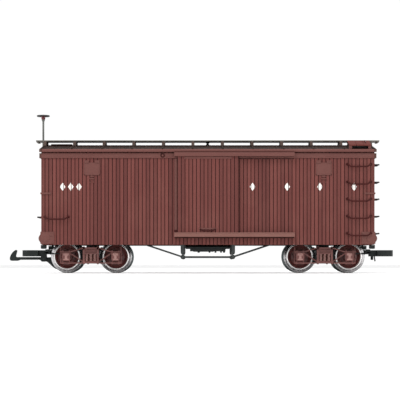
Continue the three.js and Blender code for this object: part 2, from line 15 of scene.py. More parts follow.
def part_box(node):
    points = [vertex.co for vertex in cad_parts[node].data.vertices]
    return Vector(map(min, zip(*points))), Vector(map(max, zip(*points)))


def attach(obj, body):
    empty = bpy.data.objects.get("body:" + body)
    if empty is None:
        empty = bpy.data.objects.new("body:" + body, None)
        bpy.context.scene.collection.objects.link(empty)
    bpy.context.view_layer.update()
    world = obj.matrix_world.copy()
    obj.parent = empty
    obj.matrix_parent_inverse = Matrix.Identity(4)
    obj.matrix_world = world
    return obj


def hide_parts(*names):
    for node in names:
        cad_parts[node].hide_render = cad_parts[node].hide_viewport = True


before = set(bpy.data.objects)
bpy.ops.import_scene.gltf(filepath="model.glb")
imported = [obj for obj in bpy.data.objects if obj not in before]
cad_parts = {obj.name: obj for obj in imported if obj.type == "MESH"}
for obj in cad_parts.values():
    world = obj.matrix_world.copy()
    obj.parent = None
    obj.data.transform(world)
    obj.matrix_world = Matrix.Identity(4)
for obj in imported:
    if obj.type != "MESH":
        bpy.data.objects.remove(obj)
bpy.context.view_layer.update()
MM = 0.001
dice = random.Random(41)


# ---- places, from the frame
def corners(node):
    low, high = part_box(node)
    return low / MM, high / MM


def centre(node):
    return [(a + b) / 2 for a, b in zip(*corners(node))]


roof_low, roof_high = corners("roof")
CENTRE_X = centre("roof")[0]
ROOF_X, ROOF_Y = (roof_high.x - roof_low.x) / 2, roof_high.y
EAVE_Z, RIDGE_Z = roof_low.z, roof_high.z
FASCIA_Z = EAVE_Z + 3.2
SLOPE = (RIDGE_Z - FASCIA_Z) / ROOF_Y

trim_low, trim_high = corners("letterboard")
TRIM_Y = trim_high.y
TRIM_Z = (trim_low.z, trim_high.z)
BODY_X, BODY_Y = ROOF_X - 2, TRIM_Y - 1.2
SILL_Z, WALL_TOP_Z = (spot.z for spot in corners("side_wall_near"))
DECK_Z = corners("cargo_floor")[1].z
PAN_Z = corners("floor_pan")[1].z - 2

walk_high = corners("roofwalk")[1]
WALK_X, WALK_Y, WALK_Z = walk_high.x - CENTRE_X, 13, walk_high.z
SADDLE_Y = walk_high.y
SADDLE_X = [(i + 0.5) * 31.84 for i in range(-6, 6)]

door_low, door_high = corners("door_near")
DOOR_X = (door_high.x - door_low.x) / 2
DOOR_Z = (door_low.z, door_high.z)
DOOR_FACE, DOOR_BACK = door_low.y + 1.8, door_high.y
DOORWAY_X, DOORWAY_Z = 29.5, (43.5, 120.7)

BOGIE_X = centre("bolster_right")[0] - CENTRE_X
axle, spindle = centre("axle_right_outer"), centre("brake_staff")
AXLE_X, AXLE_Z = axle[0] - CENTRE_X - BOGIE_X, axle[2]
STAFF_X, STAFF_Y = spindle[0] - CENTRE_X, spindle[1]

BOARDS_ALONG = 89
BOARD = 2 * BODY_X / BOARDS_ALONG

HALF_TURN = Matrix.Rotation(pi, 4, "Z")
NEAR = Matrix.Translation((CENTRE_X, 0, 0))
FAR = NEAR @ HALF_TURN


# ---- materials
def linear(levels):
    """Linear colour from 0-255 levels."""
    return [
        c / 12.92 if c <= 0.04045 else ((c + 0.055) / 1.055) ** 2.4
        for c in (level / 255 for level in levels)
    ]


class Look:
    """A node material, built up by small steps."""

    def __init__(self, name):
        self.material = bpy.data.materials.new(name)
        self.material.use_nodes = True
        self.tree = self.material.node_tree
        self.shader = self.tree.nodes["Principled BSDF"]

    def node(self, kind, inputs=(), **settings):
        made = self.tree.nodes.new(kind)
        for key, value in settings.items():
            setattr(made, key, value)
        for key, value in inputs:
            made.inputs[key].default_value = value
        return made

    def link(self, source, target):
        self.tree.links.new(source, target)

    def noise(self, scale, stretch=(1, 1, 1), detail=3, rough=0.55):
        """Noise in the part's own space, drawn out along an axis."""
        mapping = self.node("ShaderNodeMapping", [("Scale", stretch)])
        texture = self.node(
            "ShaderNodeTexNoise", [("Scale", scale), ("Detail", detail), ("Roughness", rough)])
        self.link(self.node("ShaderNodeTexCoord").outputs["Object"], mapping.inputs["Vector"])
        self.link(mapping.outputs["Vector"], texture.inputs["Vector"])
        return texture.outputs["Fac"]

    def spread(self, value, low, high, to_low=0, to_high=1):
        node = self.node("ShaderNodeMapRange", [
            ("From Min", low), ("From Max", high), ("To Min", to_low), ("To Max", to_high)])
        self.link(value, node.inputs["Value"])
        return node.outputs["Result"]

    def mix(self, factor, first, second):
        """Colour from first to second. Each is a tuple of 0-255 levels or a socket."""
        node = self.node("ShaderNodeMix", data_type="RGBA")
        self.link(factor, node.inputs[0])
        for source, socket in ((first, node.inputs[6]), (second, node.inputs[7])):
            if isinstance(source, tuple):
                socket.default_value = (*linear(source), 1)
            else:
                self.link(source, socket)
        return node.outputs[2]

    def finish(self, colour, marks, low, high, specular, layers):
        """The material. The marks vary its roughness from low to high, and each layer is a
        bump: (height socket, depth in mm, strength)."""
        inputs = self.shader.inputs
        self.link(colour, inputs["Base Color"])
        self.link(self.spread(marks, 0.3, 0.7, low, high), inputs["Roughness"])
        inputs["Specular IOR Level"].default_value = specular
        normal = None
        for height, depth, strength in layers:
            node = self.node("ShaderNodeBump", [("Distance", depth * MM), ("Strength", strength)])
            self.link(height, node.inputs["Height"])
            if normal is not None:
                self.link(normal, node.inputs["Normal"])
            normal = node.outputs["Normal"]
        self.link(normal, inputs["Normal"])
        return self.material


def timber(name, dark, light, dust, roughness, way, specular=0.3):
    """Painted, moulded boards: a tone for each board, streaks of grain and a little dust."""
    look = Look(name)
    tone = look.node("ShaderNodeAttribute", attribute_name="tone").outputs["Fac"]
    stretch = [0.04 if axis == way else 1 for axis in "xyz"]
    grain = look.noise(900, stretch, 6, 0.65)
    fine, broad = look.noise(2600, stretch), look.noise(28)
    colour = look.mix(tone, dark, light)
    colour = look.mix(look.spread(grain, 0.45, 0.75, 0, 0.42), colour, dark)
    colour = look.mix(look.spread(broad, 0.48, 0.75, 0, 0.35), colour, dust)
    return look.finish(colour, grain, roughness - 0.07, roughness + 0.08, specular,
                       [(grain, 0.09, 0.5), (fine, 0.03, 0.4)])


def plastic(name, colour, second, roughness, specular=0.5):
    """Plain plastic, slightly mottled, with a fine moulded skin."""
    look = Look(name)
    cloud, skin = look.noise(120), look.noise(3200, detail=2)
    mottled = look.mix(look.spread(cloud, 0.35, 0.7), colour, second)
    return look.finish(mottled, cloud, roughness - 0.06, roughness + 0.06, specular,
                       [(skin, 0.02, 0.5)])


def metal(name, colour, second, roughness, brushed=(1, 1, 1), scale=400):
    look = Look(name)
    marks = look.noise(scale, brushed, 5, 0.6)
    look.shader.inputs["Metallic"].default_value = 1
    marked = look.mix(look.spread(marks, 0.3, 0.7), colour, second)
    return look.finish(marked, marks, roughness - 0.05, roughness + 0.1, 0.5,
                       [(marks, 0.015, 0.3)])


WALL = (88, 42, 38), (114, 60, 54), (120, 72, 64)
BOARDS = timber("body_boards", *WALL, 0.66, "z")
PLANKS = timber("body_planks", *WALL, 0.66, "x")
# Dark brown for the board joints; it also paints shadow strips under the door tracks.
GROOVE_AND_SHADE = plastic("grooves_and_painted_shade", (50, 24, 22), (62, 31, 28), 0.85, 0.15)
TRIM = timber("body_trim", (94, 54, 49), (108, 65, 59), (116, 76, 69), 0.62, "x")
TRIM_END = timber("trim_end_grain", (78, 56, 50), (94, 70, 63), (102, 80, 72), 0.75, "x", 0.1)
RAIL = timber("track_rail", (116, 76, 68), (128, 88, 80), (134, 96, 88), 0.6, "x")
DECKING = timber("platform_decking", (94, 50, 46), (108, 62, 57), (114, 70, 64), 0.9, "y", 0.04)
# Dark roof brown; on the platform bearers it is also painted shade.
ROOF_AND_SHADE = timber("roof_boards", (34, 23, 19), (50, 35, 29), (58, 42, 35), 0.9, "y", 0.06)
ROOF_GROOVE = plastic("roof_grooves", (28, 21, 19), (36, 27, 25), 0.9, 0.1)
WALK = timber("weathered_walk", (92, 90, 84), (120, 117, 110), (136, 131, 122), 0.8, "x")
SADDLE = timber("walk_saddles", (64, 52, 47), (82, 68, 62), (92, 78, 72), 0.8, "y", 0.15)
# The car's own brown darkened as painted shade, for the side grab irons and the door handle's bar;
# the door stop block uses it too.
DARKENED_BROWN = plastic("darkened_brown", (56, 18, 16), (70, 26, 23), 0.6, 0.15)
END_GRAB = plastic("end_grab_irons", (26, 20, 20), (38, 28, 27), 0.55, 0.25)
BLACK = plastic("black_plastic", (18, 24, 23), (28, 35, 34), 0.5, 0.28)
TRUSS = plastic("truss_plastic", (33, 39, 38), (48, 55, 54), 0.4)
FRAME = plastic("bogie_brown", (110, 65, 60), (128, 79, 74), 0.55)
# Painted shade on the back plate behind the bogie springs.
SHADE_BROWN = plastic("bogie_painted_shade", (64, 33, 29), (78, 42, 37), 0.8, 0.15)
# Painted highlight on the bogie springs and on the raised ribs and bar of the axle box lids.
HIGHLIGHT_BROWN = plastic("bogie_painted_highlight", (164, 120, 114), (184, 140, 132), 0.45)
WHEEL = plastic("wheel_centre", (80, 36, 34), (98, 50, 45), 0.45)
BRUSHED = (1, 0.1, 1), 500
TYRE = metal("tyre_steel", (236, 234, 232), (250, 248, 246), 0.16, *BRUSHED)
TREAD = metal("tread_steel", (198, 196, 198), (220, 218, 218), 0.26, *BRUSHED)
FLANGE = metal("flange_steel", (88, 98, 98), (114, 122, 122), 0.36, *BRUSHED)
ZINC = metal("plated_steel", (150, 150, 148), (176, 176, 172), 0.38)
DARK_PIN = metal("blackened_steel", (52, 54, 54), (68, 70, 70), 0.42)
BRAKE_RED = plastic("brake_red", (96, 20, 30), (118, 30, 40), 0.42)
BRAKE_BLACK = plastic("brake_black", (14, 13, 13), (24, 21, 21), 0.45)
STAFF = plastic("staff_grey", (92, 94, 90), (108, 110, 106), 0.5)
MARK = plastic("white_marks", (232, 224, 216), (244, 240, 236), 0.6)

SLOTS = {
    ROOF_AND_SHADE: "roof_brown", SADDLE: "roof_brown", WALK: "walk_grey", STAFF: "walk_grey",
    MARK: "walk_grey", BLACK: "underframe_black", TRUSS: "underframe_black",
    FRAME: "frame_brown", WHEEL: "frame_brown", TYRE: "tyre_steel", ZINC: "zinc",
    DARK_PIN: "zinc", BRAKE_RED: "brake_red", BRAKE_BLACK: "brake_red",
}


# ---- solids
def in_scene(name, data):
    made = bpy.data.objects.new(name, data)
    bpy.context.scene.collection.objects.link(made)
    return made


class Form:
    """Collects solids in millimetres, in a local frame, and makes them one mesh."""

    PLANES = {"xy": (0, 1, 2), "xz": (0, 2, 1), "yz": (2, 0, 1)}

    def __init__(self, place=NEAR):
        self.place = place
        self.points, self.faces, self.looks, self.tones = [], [], [], []
        self.tone = 0.5

    def add(self, points, faces, looks):
        start = len(self.points)
        self.points += [self.place @ Vector(p) for p in points]
        self.faces += [[start + i for i in face] for face in faces]
        self.looks += looks if isinstance(looks, list) else [looks] * len(faces)
        self.tones += [self.tone] * len(faces)

    def loft(self, points, looks=0):
        """A solid between two like ends, from the points of one and then the other."""
        n = len(points) // 2
        faces = [list(range(n))[::-1], list(range(n, 2 * n))]
        faces += [[i, (i + 1) % n, (i + 1) % n + n, i + n] for i in range(n)]
        self.add(points, faces, looks)

    def prism(self, outline, low, high, plane="xy", look=0, side_looks=None):
        """An outline in a plane, drawn out from low to high across it."""
        order = self.PLANES[plane]
        points = [[(*spot, end)[i] for i in order] for end in (low, high) for spot in outline]
        self.loft(points, [look, look, *side_looks] if side_looks else look)

    def block(self, x, y, z, look=0):
        self.prism([(x[0], y[0]), (x[1], y[0]), (x[1], y[1]), (x[0], y[1])], *z, "xy", look)

    def rod(self, path, radius, sides=12, look=0):
        """A round bar along a path, with flat ends."""
        path = [Vector(p) for p in path]
        last = len(path) - 1
        runs = [(path[i + 1] - path[i]).normalized() for i in range(last)]
        side = runs[0].orthogonal().normalized()
        points = []
        for i, at in enumerate(path):
            along = (runs[max(i - 1, 0)] + runs[min(i, last - 1)]).normalized()
            side = (side - along * side.dot(along)).normalized()
            up = along.cross(side)
            for k in range(sides):
                turn = 2 * pi * k / sides
                points.append(at + (side * cos(turn) + up * sin(turn)) * radius)
        faces = [list(range(sides))[::-1], [last * sides + k for k in range(sides)]]
        for i in range(last):
            for k in range(sides):
                a, b = i * sides + k, i * sides + (k + 1) % sides
                faces.append([a, b, b + sides, a + sides])
        self.add(points, faces, look)

    def turned(self, profile, at=(0, 0, 0), axis="z", segments=32, look=0, ring=False):
        """A turned solid from (radius, height) points. A ring's profile closes on itself, and
        the look may be a list, one for each step of the profile."""
        shift = "zxy".index(axis)
        points, rows = [], []
        for r, h in profile:
            rows.append(len(points))
            for k in range(segments if r else 1):
                t = 2 * pi * k / segments
                spot = (r * cos(t), r * sin(t), h)
                points.append(Vector(spot[-shift:] + spot[:-shift]) + Vector(at))
        count = len(profile)
        faces = []
        for j in range(count if ring else count - 1):
            after = (j + 1) % count
            a, b = rows[j], rows[after]
            one, two = profile[j][0] == 0, profile[after][0] == 0
            for k in range(segments):
                m = (k + 1) % segments
                if one and not two:
                    faces.append([a, b + k, b + m])
                elif two and not one:
                    faces.append([a + k, a + m, b])
                elif not one:
                    faces.append([a + k, a + m, b + m, b + k])
        if isinstance(look, list):
            look = [each for each in look for _ in range(segments)]
        self.add(points, faces, look)

    def ball(self, at, radius, steps, segments):
        arc = [pi * i / steps for i in range(steps + 1)]
        profile = [(radius * sin(a), -radius * cos(a)) for a in arc]
        profile[0], profile[-1] = (0, -radius), (0, radius)
        self.turned(profile, at, "z", segments)

    def disc(self, at, axis, radius, height, sides=6):
        """A nut, or a round with more sides."""
        self.turned([(0, 0), (radius, 0), (radius, height), (0, height)], at, axis, sides)

    def nail(self, at, axis, out):
        sunk = -0.02 if out > 0 else 0.02
        self.turned([(0.34, sunk), (0.24, out), (0, out)], at, axis, 6)

    def done(self, name, looks, replaces=(), bevel=0, body="car_body", slot=None, smooth=38):
        """Makes the mesh. It works out a slot name from its first look, unless another is named,
        but nothing uses it.
        """
        slot = slot or SLOTS.get(looks[0], "body_brown")
        mesh = bpy.data.meshes.new(name)
        mesh.from_pydata([p * MM for p in self.points], [], self.faces)
        for material in looks:
            mesh.materials.append(material)
        mesh.polygons.foreach_set("material_index", self.looks)
        mesh.attributes.new("tone", "FLOAT", "FACE").data.foreach_set("value", self.tones)
        work = bmesh.new()
        work.from_mesh(mesh)
        bmesh.ops.recalc_face_normals(work, faces=work.faces)
        work.to_mesh(mesh)
        work.free()
        mesh.shade_smooth()
        mesh.set_sharp_from_angle(angle=radians(smooth))
        piece = in_scene(name, mesh)
        if bevel:
            edge = piece.modifiers.new("edges", "BEVEL")
            edge.width = bevel * MM
            edge.segments = 2
            edge.limit_method = "ANGLE"
            edge.angle_limit = radians(40)
            edge.harden_normals = True
        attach(piece, body)
        if replaces:
            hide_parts(*replaces)


def roof_z(y):
    return RIDGE_Z - SLOPE * abs(y)


def scaled(points, a=1, b=1):
    return [(a * p, b * q) for p, q in points]


def mirrored(half, a=-1, b=1):
    """The other half of a symmetric line, in order after the first."""
    return scaled(half, a, b)[::-1]


GROOVE_HALF, GROOVE_DEEP = 0.38, 0.5
GROOVED = [0, 0, 1, 0, 1, 0]  # the look of each side of a chamfered board


def chamfered(a0, a1, back, front, groove=GROOVE_HALF, deep=GROOVE_DEEP):
    """A board's section: a flat face with a chamfer down to each joint."""
    return [(a0, back), (a1, back), (a1, front + deep), (a1 - groove, front),
            (a0 + groove, front), (a0, front + deep)]


# ---- walls
NAIL_Z = (SILL_Z + 2.2, 82, TRIM_Z[0] - 1.6)


def side_wall(place, side):
    front = -BODY_Y
    back, inner = front + 1.3, front + 2
    form = Form(place)
    for i in range(BOARDS_ALONG):
        x0 = -BODY_X + i * BOARD
        section = chamfered(x0, x0 + BOARD, back, front)
        middle = x0 + BOARD / 2
        spans = [(SILL_Z, WALL_TOP_Z)]
        if abs(middle) < DOORWAY_X:
            spans = [(SILL_Z, DOORWAY_Z[0]), (DOORWAY_Z[1], WALL_TOP_Z)]
        form.tone = dice.uniform(0.1, 0.9)
        for low, high in spans:
            form.prism(section, low, high, "xy", 0, GROOVED)
            for z in NAIL_Z:
                if low < z < high:
                    form.nail((middle, front, z), "y", -0.12)
    form.done(f"boards_{side}", [BOARDS, GROOVE_AND_SHADE], [f"side_wall_{side}"])

    lining = Form(place)
    end = BODY_X - 2.2
    rows = 12
    height = (WALL_TOP_Z - SILL_Z) / rows
    for row in range(rows):
        z0 = SILL_Z + row * height
        lining.tone = dice.uniform(0.2, 0.8)
        section = chamfered(z0, z0 + height, back + 0.05, inner, -0.25, -0.3)
        runs = [(-end, end)]
        if DOORWAY_Z[0] - 1 < z0 + height / 2 < DOORWAY_Z[1] + 1:
            runs = [(-end, -DOORWAY_X), (DOORWAY_X, end)]
        for run in runs:
            lining.prism([(y, z) for z, y in section], *run, "yz")
    for x in (-DOORWAY_X - 0.1, DOORWAY_X - 1.1):
        lining.block((x, x + 1.2), (front + 0.1, inner + 0.2), DOORWAY_Z)
    lining.done(f"lining_{side}", [PLANKS], bevel=0.08)


def door_post(place, side):
    """The post beside the closed door, with its stop block, and the doorway's sill plate."""
    form = Form(place)
    front = -BODY_Y
    form.block((-35.2, -DOOR_X - 0.4), (front - 1.8, front), (43, 120.6))
    form.block((-35.4, -DOOR_X + 0.4), (front - 2.8, front), (42.9, 45.6), 1)
    form.block((-DOORWAY_X, DOORWAY_X), (front - 0.9, front + 1.8), (42.2, DOORWAY_Z[0]))
    form.done(f"door_post_{side}", [TRIM, DARKENED_BROWN], bevel=0.18)


def hatches(place, side):
    """Two small vent hatches with their hinges, latches and lugs."""
    front = -BODY_Y
    low, high, half = 103.2, 116.4, 8.3
    plates = [  # x, x, height above the wall, z, z
        (-half, half, 0.55, low, high), (-half, 0.9 - half, 0.8, low, high),
        (half - 0.9, half, 0.8, low, high), (-half, half, 0.8, low, low + 0.9),
        (-7.9, -3.3, 1.1, high - 0.6, high + 2.4), (3.3, 7.9, 1.1, high - 0.6, high + 2.4),
        (-2.6, 2.6, 0.9, 98.9, 100.1), (-2, 2, 1.1, 101.2, 102.6),
    ]
    for end, x in (("left", -122.1), ("right", 122.1)):
        form = Form(place)
        for x0, x1, out, z0, z1 in plates:
            form.block((x + x0, x + x1), (front - out, front + 0.3), (z0, z1))
        for hinge in (x - 5.6, x + 5.6):
            form.rod([(hinge + a, front - 0.9, high + 0.5) for a in (-2.5, 2.5)], 0.45, 8)
            form.disc((hinge, front - 1.05, high + 1.6), "y", 0.45, -0.3)
        for lug in (x - 1.7, x + 1.7):
            form.ball((lug, front - 0.3, 95.6), 0.75, 4, 10)
            form.rod([(lug, front - 0.55, z) for z in (95.6, 98.9)], 0.25, 6)
        form.done(f"hatch_{side}_{end}", [TRIM], bevel=0.12)


def end_wall(place, end):
    """A gable end's boards, corners and barge boards, in a frame where the end faces +X."""
    form = Form(place)
    count = 28
    pitch = 2 * BODY_Y / count
    for i in range(count):
        y0 = -BODY_Y + i * pitch
        section = chamfered(y0, y0 + pitch, BODY_X - 1.6, BODY_X, deep=-GROOVE_DEEP)
        form.tone = dice.uniform(0.1, 0.9)
        top = roof_z(max(abs(y0), abs(y0 + pitch))) - 2.6
        form.prism([(x, y) for y, x in section], SILL_Z, top, "xy", 0, GROOVED)
        for z in NAIL_Z:
            form.nail((BODY_X, y0 + pitch / 2, z), "x", 0.12)
    form.done(f"end_boards_{end}", [BOARDS, GROOVE_AND_SHADE], [f"end_wall_{end}"])

    posts, irons, barge = Form(place), Form(place), Form(place)
    plates = ((30.8, 43.5, 161.9, 42.2), (83.1, 84.9, 165.2, 48.1))
    boss = [(5, 0), (4.7, 0.25), (3.7, 0.55), (2.2, 0.75), (0, 0.8)]
    cone = [(4.6, 0), (4.3, 0.6), (2.9, 1.5), (1.7, 2.2), (0.7, 2.4), (0, 2.4)]
    foot = ROOF_Y - 0.2
    slope = [(0, RIDGE_Z - 0.9), (foot, roof_z(foot) - 0.9), (foot, EAVE_Z + 0.1),
             (0, RIDGE_Z - 4.4)]
    for turn in (1, -1):
        wall_y, face_x, face_y = turn * BODY_Y, BODY_X + 0.9, turn * (BODY_Y + 0.9)
        posts.block((BODY_X - 1.5, BODY_X + 0.08), (wall_y - turn * 1.5, wall_y + turn * 0.08),
                    (SILL_Z + 0.05, TRIM_Z[0]))
        for low, high, along, inner in plates:
            irons.block((along, BODY_X + 0.95), (wall_y - turn * 0.2, wall_y + turn * 0.95),
                        (low, high))
            irons.block((BODY_X - 0.2, face_x), (turn * inner, wall_y + turn * 0.6),
                        (low + 0.02, high - 0.02))
        for x, z in ((163.6, 32.6), (163.6, 41.7), (167.5, 84.05)):
            irons.disc((x, face_y, z), "y", 0.75, turn * 0.4)
        irons.turned(scaled(boss, 1, turn), (171.2, face_y, 37), "y", 28)
        irons.rod([(163.6, face_y, 38.8), (166.6, face_y, 38.8)], 0.45, 8)
        for z in (32.6, 41.7):
            irons.disc((face_x, turn * 43.9, z), "x", 0.75, 0.4)
        irons.turned(cone, (face_x, turn * 50.6, 36.6), "x", 24)
        irons.ball((BODY_X + 0.35, turn * 53.8, 84.05), 0.7, 5, 12)
        barge.prism(scaled(slope, turn), ROOF_X - 1.7, ROOF_X - 0.2, "yz")
    posts.done(f"corner_posts_{end}", [PLANKS], bevel=0.35)
    irons.done(f"corner_irons_{end}", [TRIM], bevel=0.15)
    barge.done(f"barge_boards_{end}", [TRIM], bevel=0.15)


def letterboards():
    """The flat band under the eaves, with a bead along its lower edge."""
    form = Form()
    z0, z1 = TRIM_Z
    tip = 2.2
    side = [(BODY_Y - 0.2, z1), (TRIM_Y - 0.25, z1), (TRIM_Y - 0.25, z0 + 1.5),
            (TRIM_Y, z0 + 1.2), (TRIM_Y, z0 + 0.4), (TRIM_Y - 0.35, z0), (BODY_Y - 0.2, z0)]
    end = [(BODY_X - 0.2, z1), (BODY_X + 1, z1), (BODY_X + 1, z0 + 2),
           (ROOF_X, z0 + 1.4), (ROOF_X, z0 + 0.4), (ROOF_X - 0.5, z0), (BODY_X - 0.2, z0)]
    for turn in (1, -1):
        form.tone = dice.uniform(0.3, 0.7)
        form.prism(scaled(side, turn), -ROOF_X + tip, ROOF_X - tip, "yz")
        for x in (-ROOF_X, ROOF_X - tip):
            form.prism(scaled(side, turn), x, x + tip, "yz", 2)
        form.tone = dice.uniform(0.3, 0.7)
        form.prism(scaled(end, turn), -TRIM_Y + 0.4, TRIM_Y - 0.4, "xz")
    stud = [(2.5, 0), (2.3, -0.6), (0.9, -0.75), (0, -0.75)]
    for turn in (1, -1):
        form.turned(scaled(stud, 1, turn), (-turn * 47.6, -turn * (TRIM_Y - 0.3), 123.9), "y", 24,
                    [1, 1, 0])
    form.done("letterboards", [TRIM, GROOVE_AND_SHADE, TRIM_END], ["letterboard"], 0.1)


# ---- roof
def roof():
    """Scribed boards from ridge to eave, on a solid skin, with fascias."""
    low = 1.1
    edge = ROOF_Y - 1.4
    skin = Form()
    half = [(0, RIDGE_Z - low), (edge, roof_z(edge) - low), (edge, EAVE_Z + 0.9),
            (BODY_Y + 0.6, EAVE_Z + 0.9), (0, RIDGE_Z - 2.4)]
    skin.prism(half + mirrored(half[1:-1]), -ROOF_X + 0.4, ROOF_X - 0.4, "yz")
    skin.done("roof_skin", [ROOF_AND_SHADE])

    boards = Form()
    count = 84
    pitch = 2 * ROOF_X / count
    section = ((0, 1), (pitch, 1), (pitch, 0.22), (pitch - 0.3, 0), (0.3, 0), (0, 0.22))
    for turn in (1, -1):
        lines = (turn * (edge + 0.1), roof_z(edge + 0.1)), (0, RIDGE_Z)
        for i in range(count):
            x0 = -ROOF_X + i * pitch
            boards.tone = dice.uniform(0.1, 0.9)
            boards.loft([(x0 + a, y, z - (low + 0.1) * drop) for y, z in lines
                         for a, drop in section], [0, 0, *GROOVED])
    boards.done("roof_boards", [ROOF_AND_SHADE, ROOF_GROOVE], ["roof"])

    tip = 2.5
    outline = [(edge, EAVE_Z + 0.2), (ROOF_Y - 1, EAVE_Z), (ROOF_Y - 0.4, EAVE_Z + 0.2),
               (ROOF_Y, EAVE_Z + 0.9), (ROOF_Y, FASCIA_Z - 0.5), (ROOF_Y - 0.3, FASCIA_Z - 0.1),
               (edge, roof_z(edge) - 0.05)]
    for turn, side in ((-1, "near"), (1, "far")):
        fascia, caps = Form(), Form()
        fascia.prism(scaled(outline, turn), -ROOF_X + tip + 0.1, ROOF_X - tip - 0.1, "yz")
        fascia.done(f"eave_fascia_{side}", [TRIM], bevel=0.1)
        for x in (-ROOF_X, ROOF_X - tip):
            caps.prism(scaled(outline, turn), x, x + tip, "yz")
        caps.done(f"eave_fascia_ends_{side}", [TRIM_END], bevel=0.5)


def roofwalk():
    """Three rows of planks, nailed to saddles, with battens on to the eaves."""
    rows = 3
    width = 2 * WALK_Y / rows
    top, under = WALK_Z, WALK_Z - 1.2
    pins = Form()
    for row in range(rows):
        form = Form()
        y0 = -WALK_Y + row * width
        joints = [-WALK_X, SADDLE_X[3 + row % 2], SADDLE_X[7 + row % 2], WALK_X]
        for x0, x1 in zip(joints, joints[1:]):
            form.tone = dice.uniform(0.15, 0.85)
            sink = dice.uniform(0, 0.12)
            form.block(
                (x0 + 0.12, x1 - 0.12), (y0 + 0.18, y0 + width - 0.18), (under, top - sink))
        form.done(f"walk_plank_{row + 1}", [WALK], ["roofwalk"] if row == 1 else (), 0.16)
        for x in SADDLE_X:
            for y in (-2.6, 2.6):
                pins.turned([(0.4, 0), (0.28, 0.1), (0, 0.1)],
                            (x, y0 + width / 2 + y, top - 0.1), "z", 6)
    pins.done("walk_nails", [SADDLE], slot="walk_grey")
    foot = roof_z(SADDLE_Y)
    half = [(0, RIDGE_Z), (SADDLE_Y, foot), (SADDLE_Y, foot + 1.3), (WALK_Y - 0.4, under)]
    batten = ((-0.8, 0), (0.8, 0), (0.6, 0.7), (-0.6, 0.7))
    battens = Form()
    for number, x in enumerate(SADDLE_X, 1):
        form = Form()
        form.tone = dice.uniform(0.2, 0.8)
        form.prism(half + mirrored(half[1:]), x - 1.6, x + 1.6, "yz")
        form.done(f"walk_saddle_{number:02}", [SADDLE], bevel=0.2)
        for turn in (1, -1):
            battens.loft([(x + side, turn * y, roof_z(y) + lift - 0.1)
                          for y in (SADDLE_Y - 0.5, ROOF_Y) for side, lift in batten])
    battens.done("roof_battens", [ROOF_AND_SHADE], bevel=0.12)
    stand = Form()
    stand.turned([(0, RIDGE_Z), (1.9, RIDGE_Z), (1.2, RIDGE_Z + 1.3), (1.3, RIDGE_Z + 2),
                  (3, RIDGE_Z + 2.8), (5.2, under), (0, under)], segments=28)
    stand.done("walk_stand", [BLACK])
    cleats = Form()
    for x in (1.6 - WALK_X, WALK_X - 1.6):
        cleats.block((x - 1.3, x + 1.3), (-WALK_Y + 0.3, WALK_Y - 0.3), (under - 1, under))
    cleats.done("walk_end_cleats", [WALK], bevel=0.4)


def platform(place, side):
    """A sloping corner platform: three boards on two bearers, with a small grab iron."""
    low, high = corners("platform_near")
    x0, x1 = low.x - CENTRE_X, high.x - CENTRE_X
    outer, inner = -57, -30
    z_outer, z_inner = 135.5, 141.4
    thick = 1.5

    def under(y):
        return z_outer - thick + (z_inner - z_outer) / (inner - outer) * (y - outer)

    form = Form(place)
    width = (x1 - x0) / 3
    for row in range(3):
        a = x0 + row * width
        form.tone = dice.uniform(0.3, 0.8)
        form.prism([(outer, z_outer - thick), (inner, z_inner - thick), (inner, z_inner),
                    (outer, z_outer)], a + 0.12, a + width - 0.12, "yz")
    form.done(f"platform_boards_{side}", [DECKING], [f"platform_{side}"], 0.2)

    # The bearers take the dark roof brown as painted shade.
    bearers = Form(place)
    heel, toe, post, back = -SADDLE_Y - 1, outer + 1, outer + 5, inner - 3
    low_z = roof_z(inner)
    for x in (x0 + 0.3, x1 - 2.1):
        bearers.prism([
            (toe, roof_z(toe)), (heel, roof_z(heel)), (heel, roof_z(heel) + 1.4),
            (inner, low_z + 1.6), (inner, under(inner)), (back, under(back)),
            (back, low_z + 1.4), (post, roof_z(outer) + 1.2), (post, under(post)),
            (toe, under(toe)),
        ], x, x + 1.8, "yz")
    # A dark strip along the inner edge, full height: painted shade.
    bearers.block((x0 + 0.1, x1 - 0.1), (inner - 0.3, inner + 0.3), (low_z + 0.5, z_inner - 0.05))
    for x in (x0 + 0.1, x1 - 3.3):
        a, b = outer + 0.6, outer + 3.4
        foot = [(a, roof_z(a)), (b, roof_z(b)), (b, under(b)), (a, under(a))]
        bearers.prism(foot, x, x + 3.2, "yz", 1)
    bearers.done(f"platform_bearers_{side}", [ROOF_AND_SHADE, TRIM], bevel=0.15)

    # The small grab iron is in the darkened brown: painted shade.
    grab = Form(place)
    start, finish = under(-50) + thick, under(-37) + thick
    grab.rod([(x1 - 5.6, y, z) for y, z in (
        (-50, start - 0.2), (-50, start + 1), (-49.4, start + 1.5),
        (-37.6, under(-37.6) + thick + 1.2), (-37, finish + 0.8), (-37, finish - 0.2))], 0.42, 8)
    grab.done(f"platform_grab_{side}", [DARKENED_BROWN])


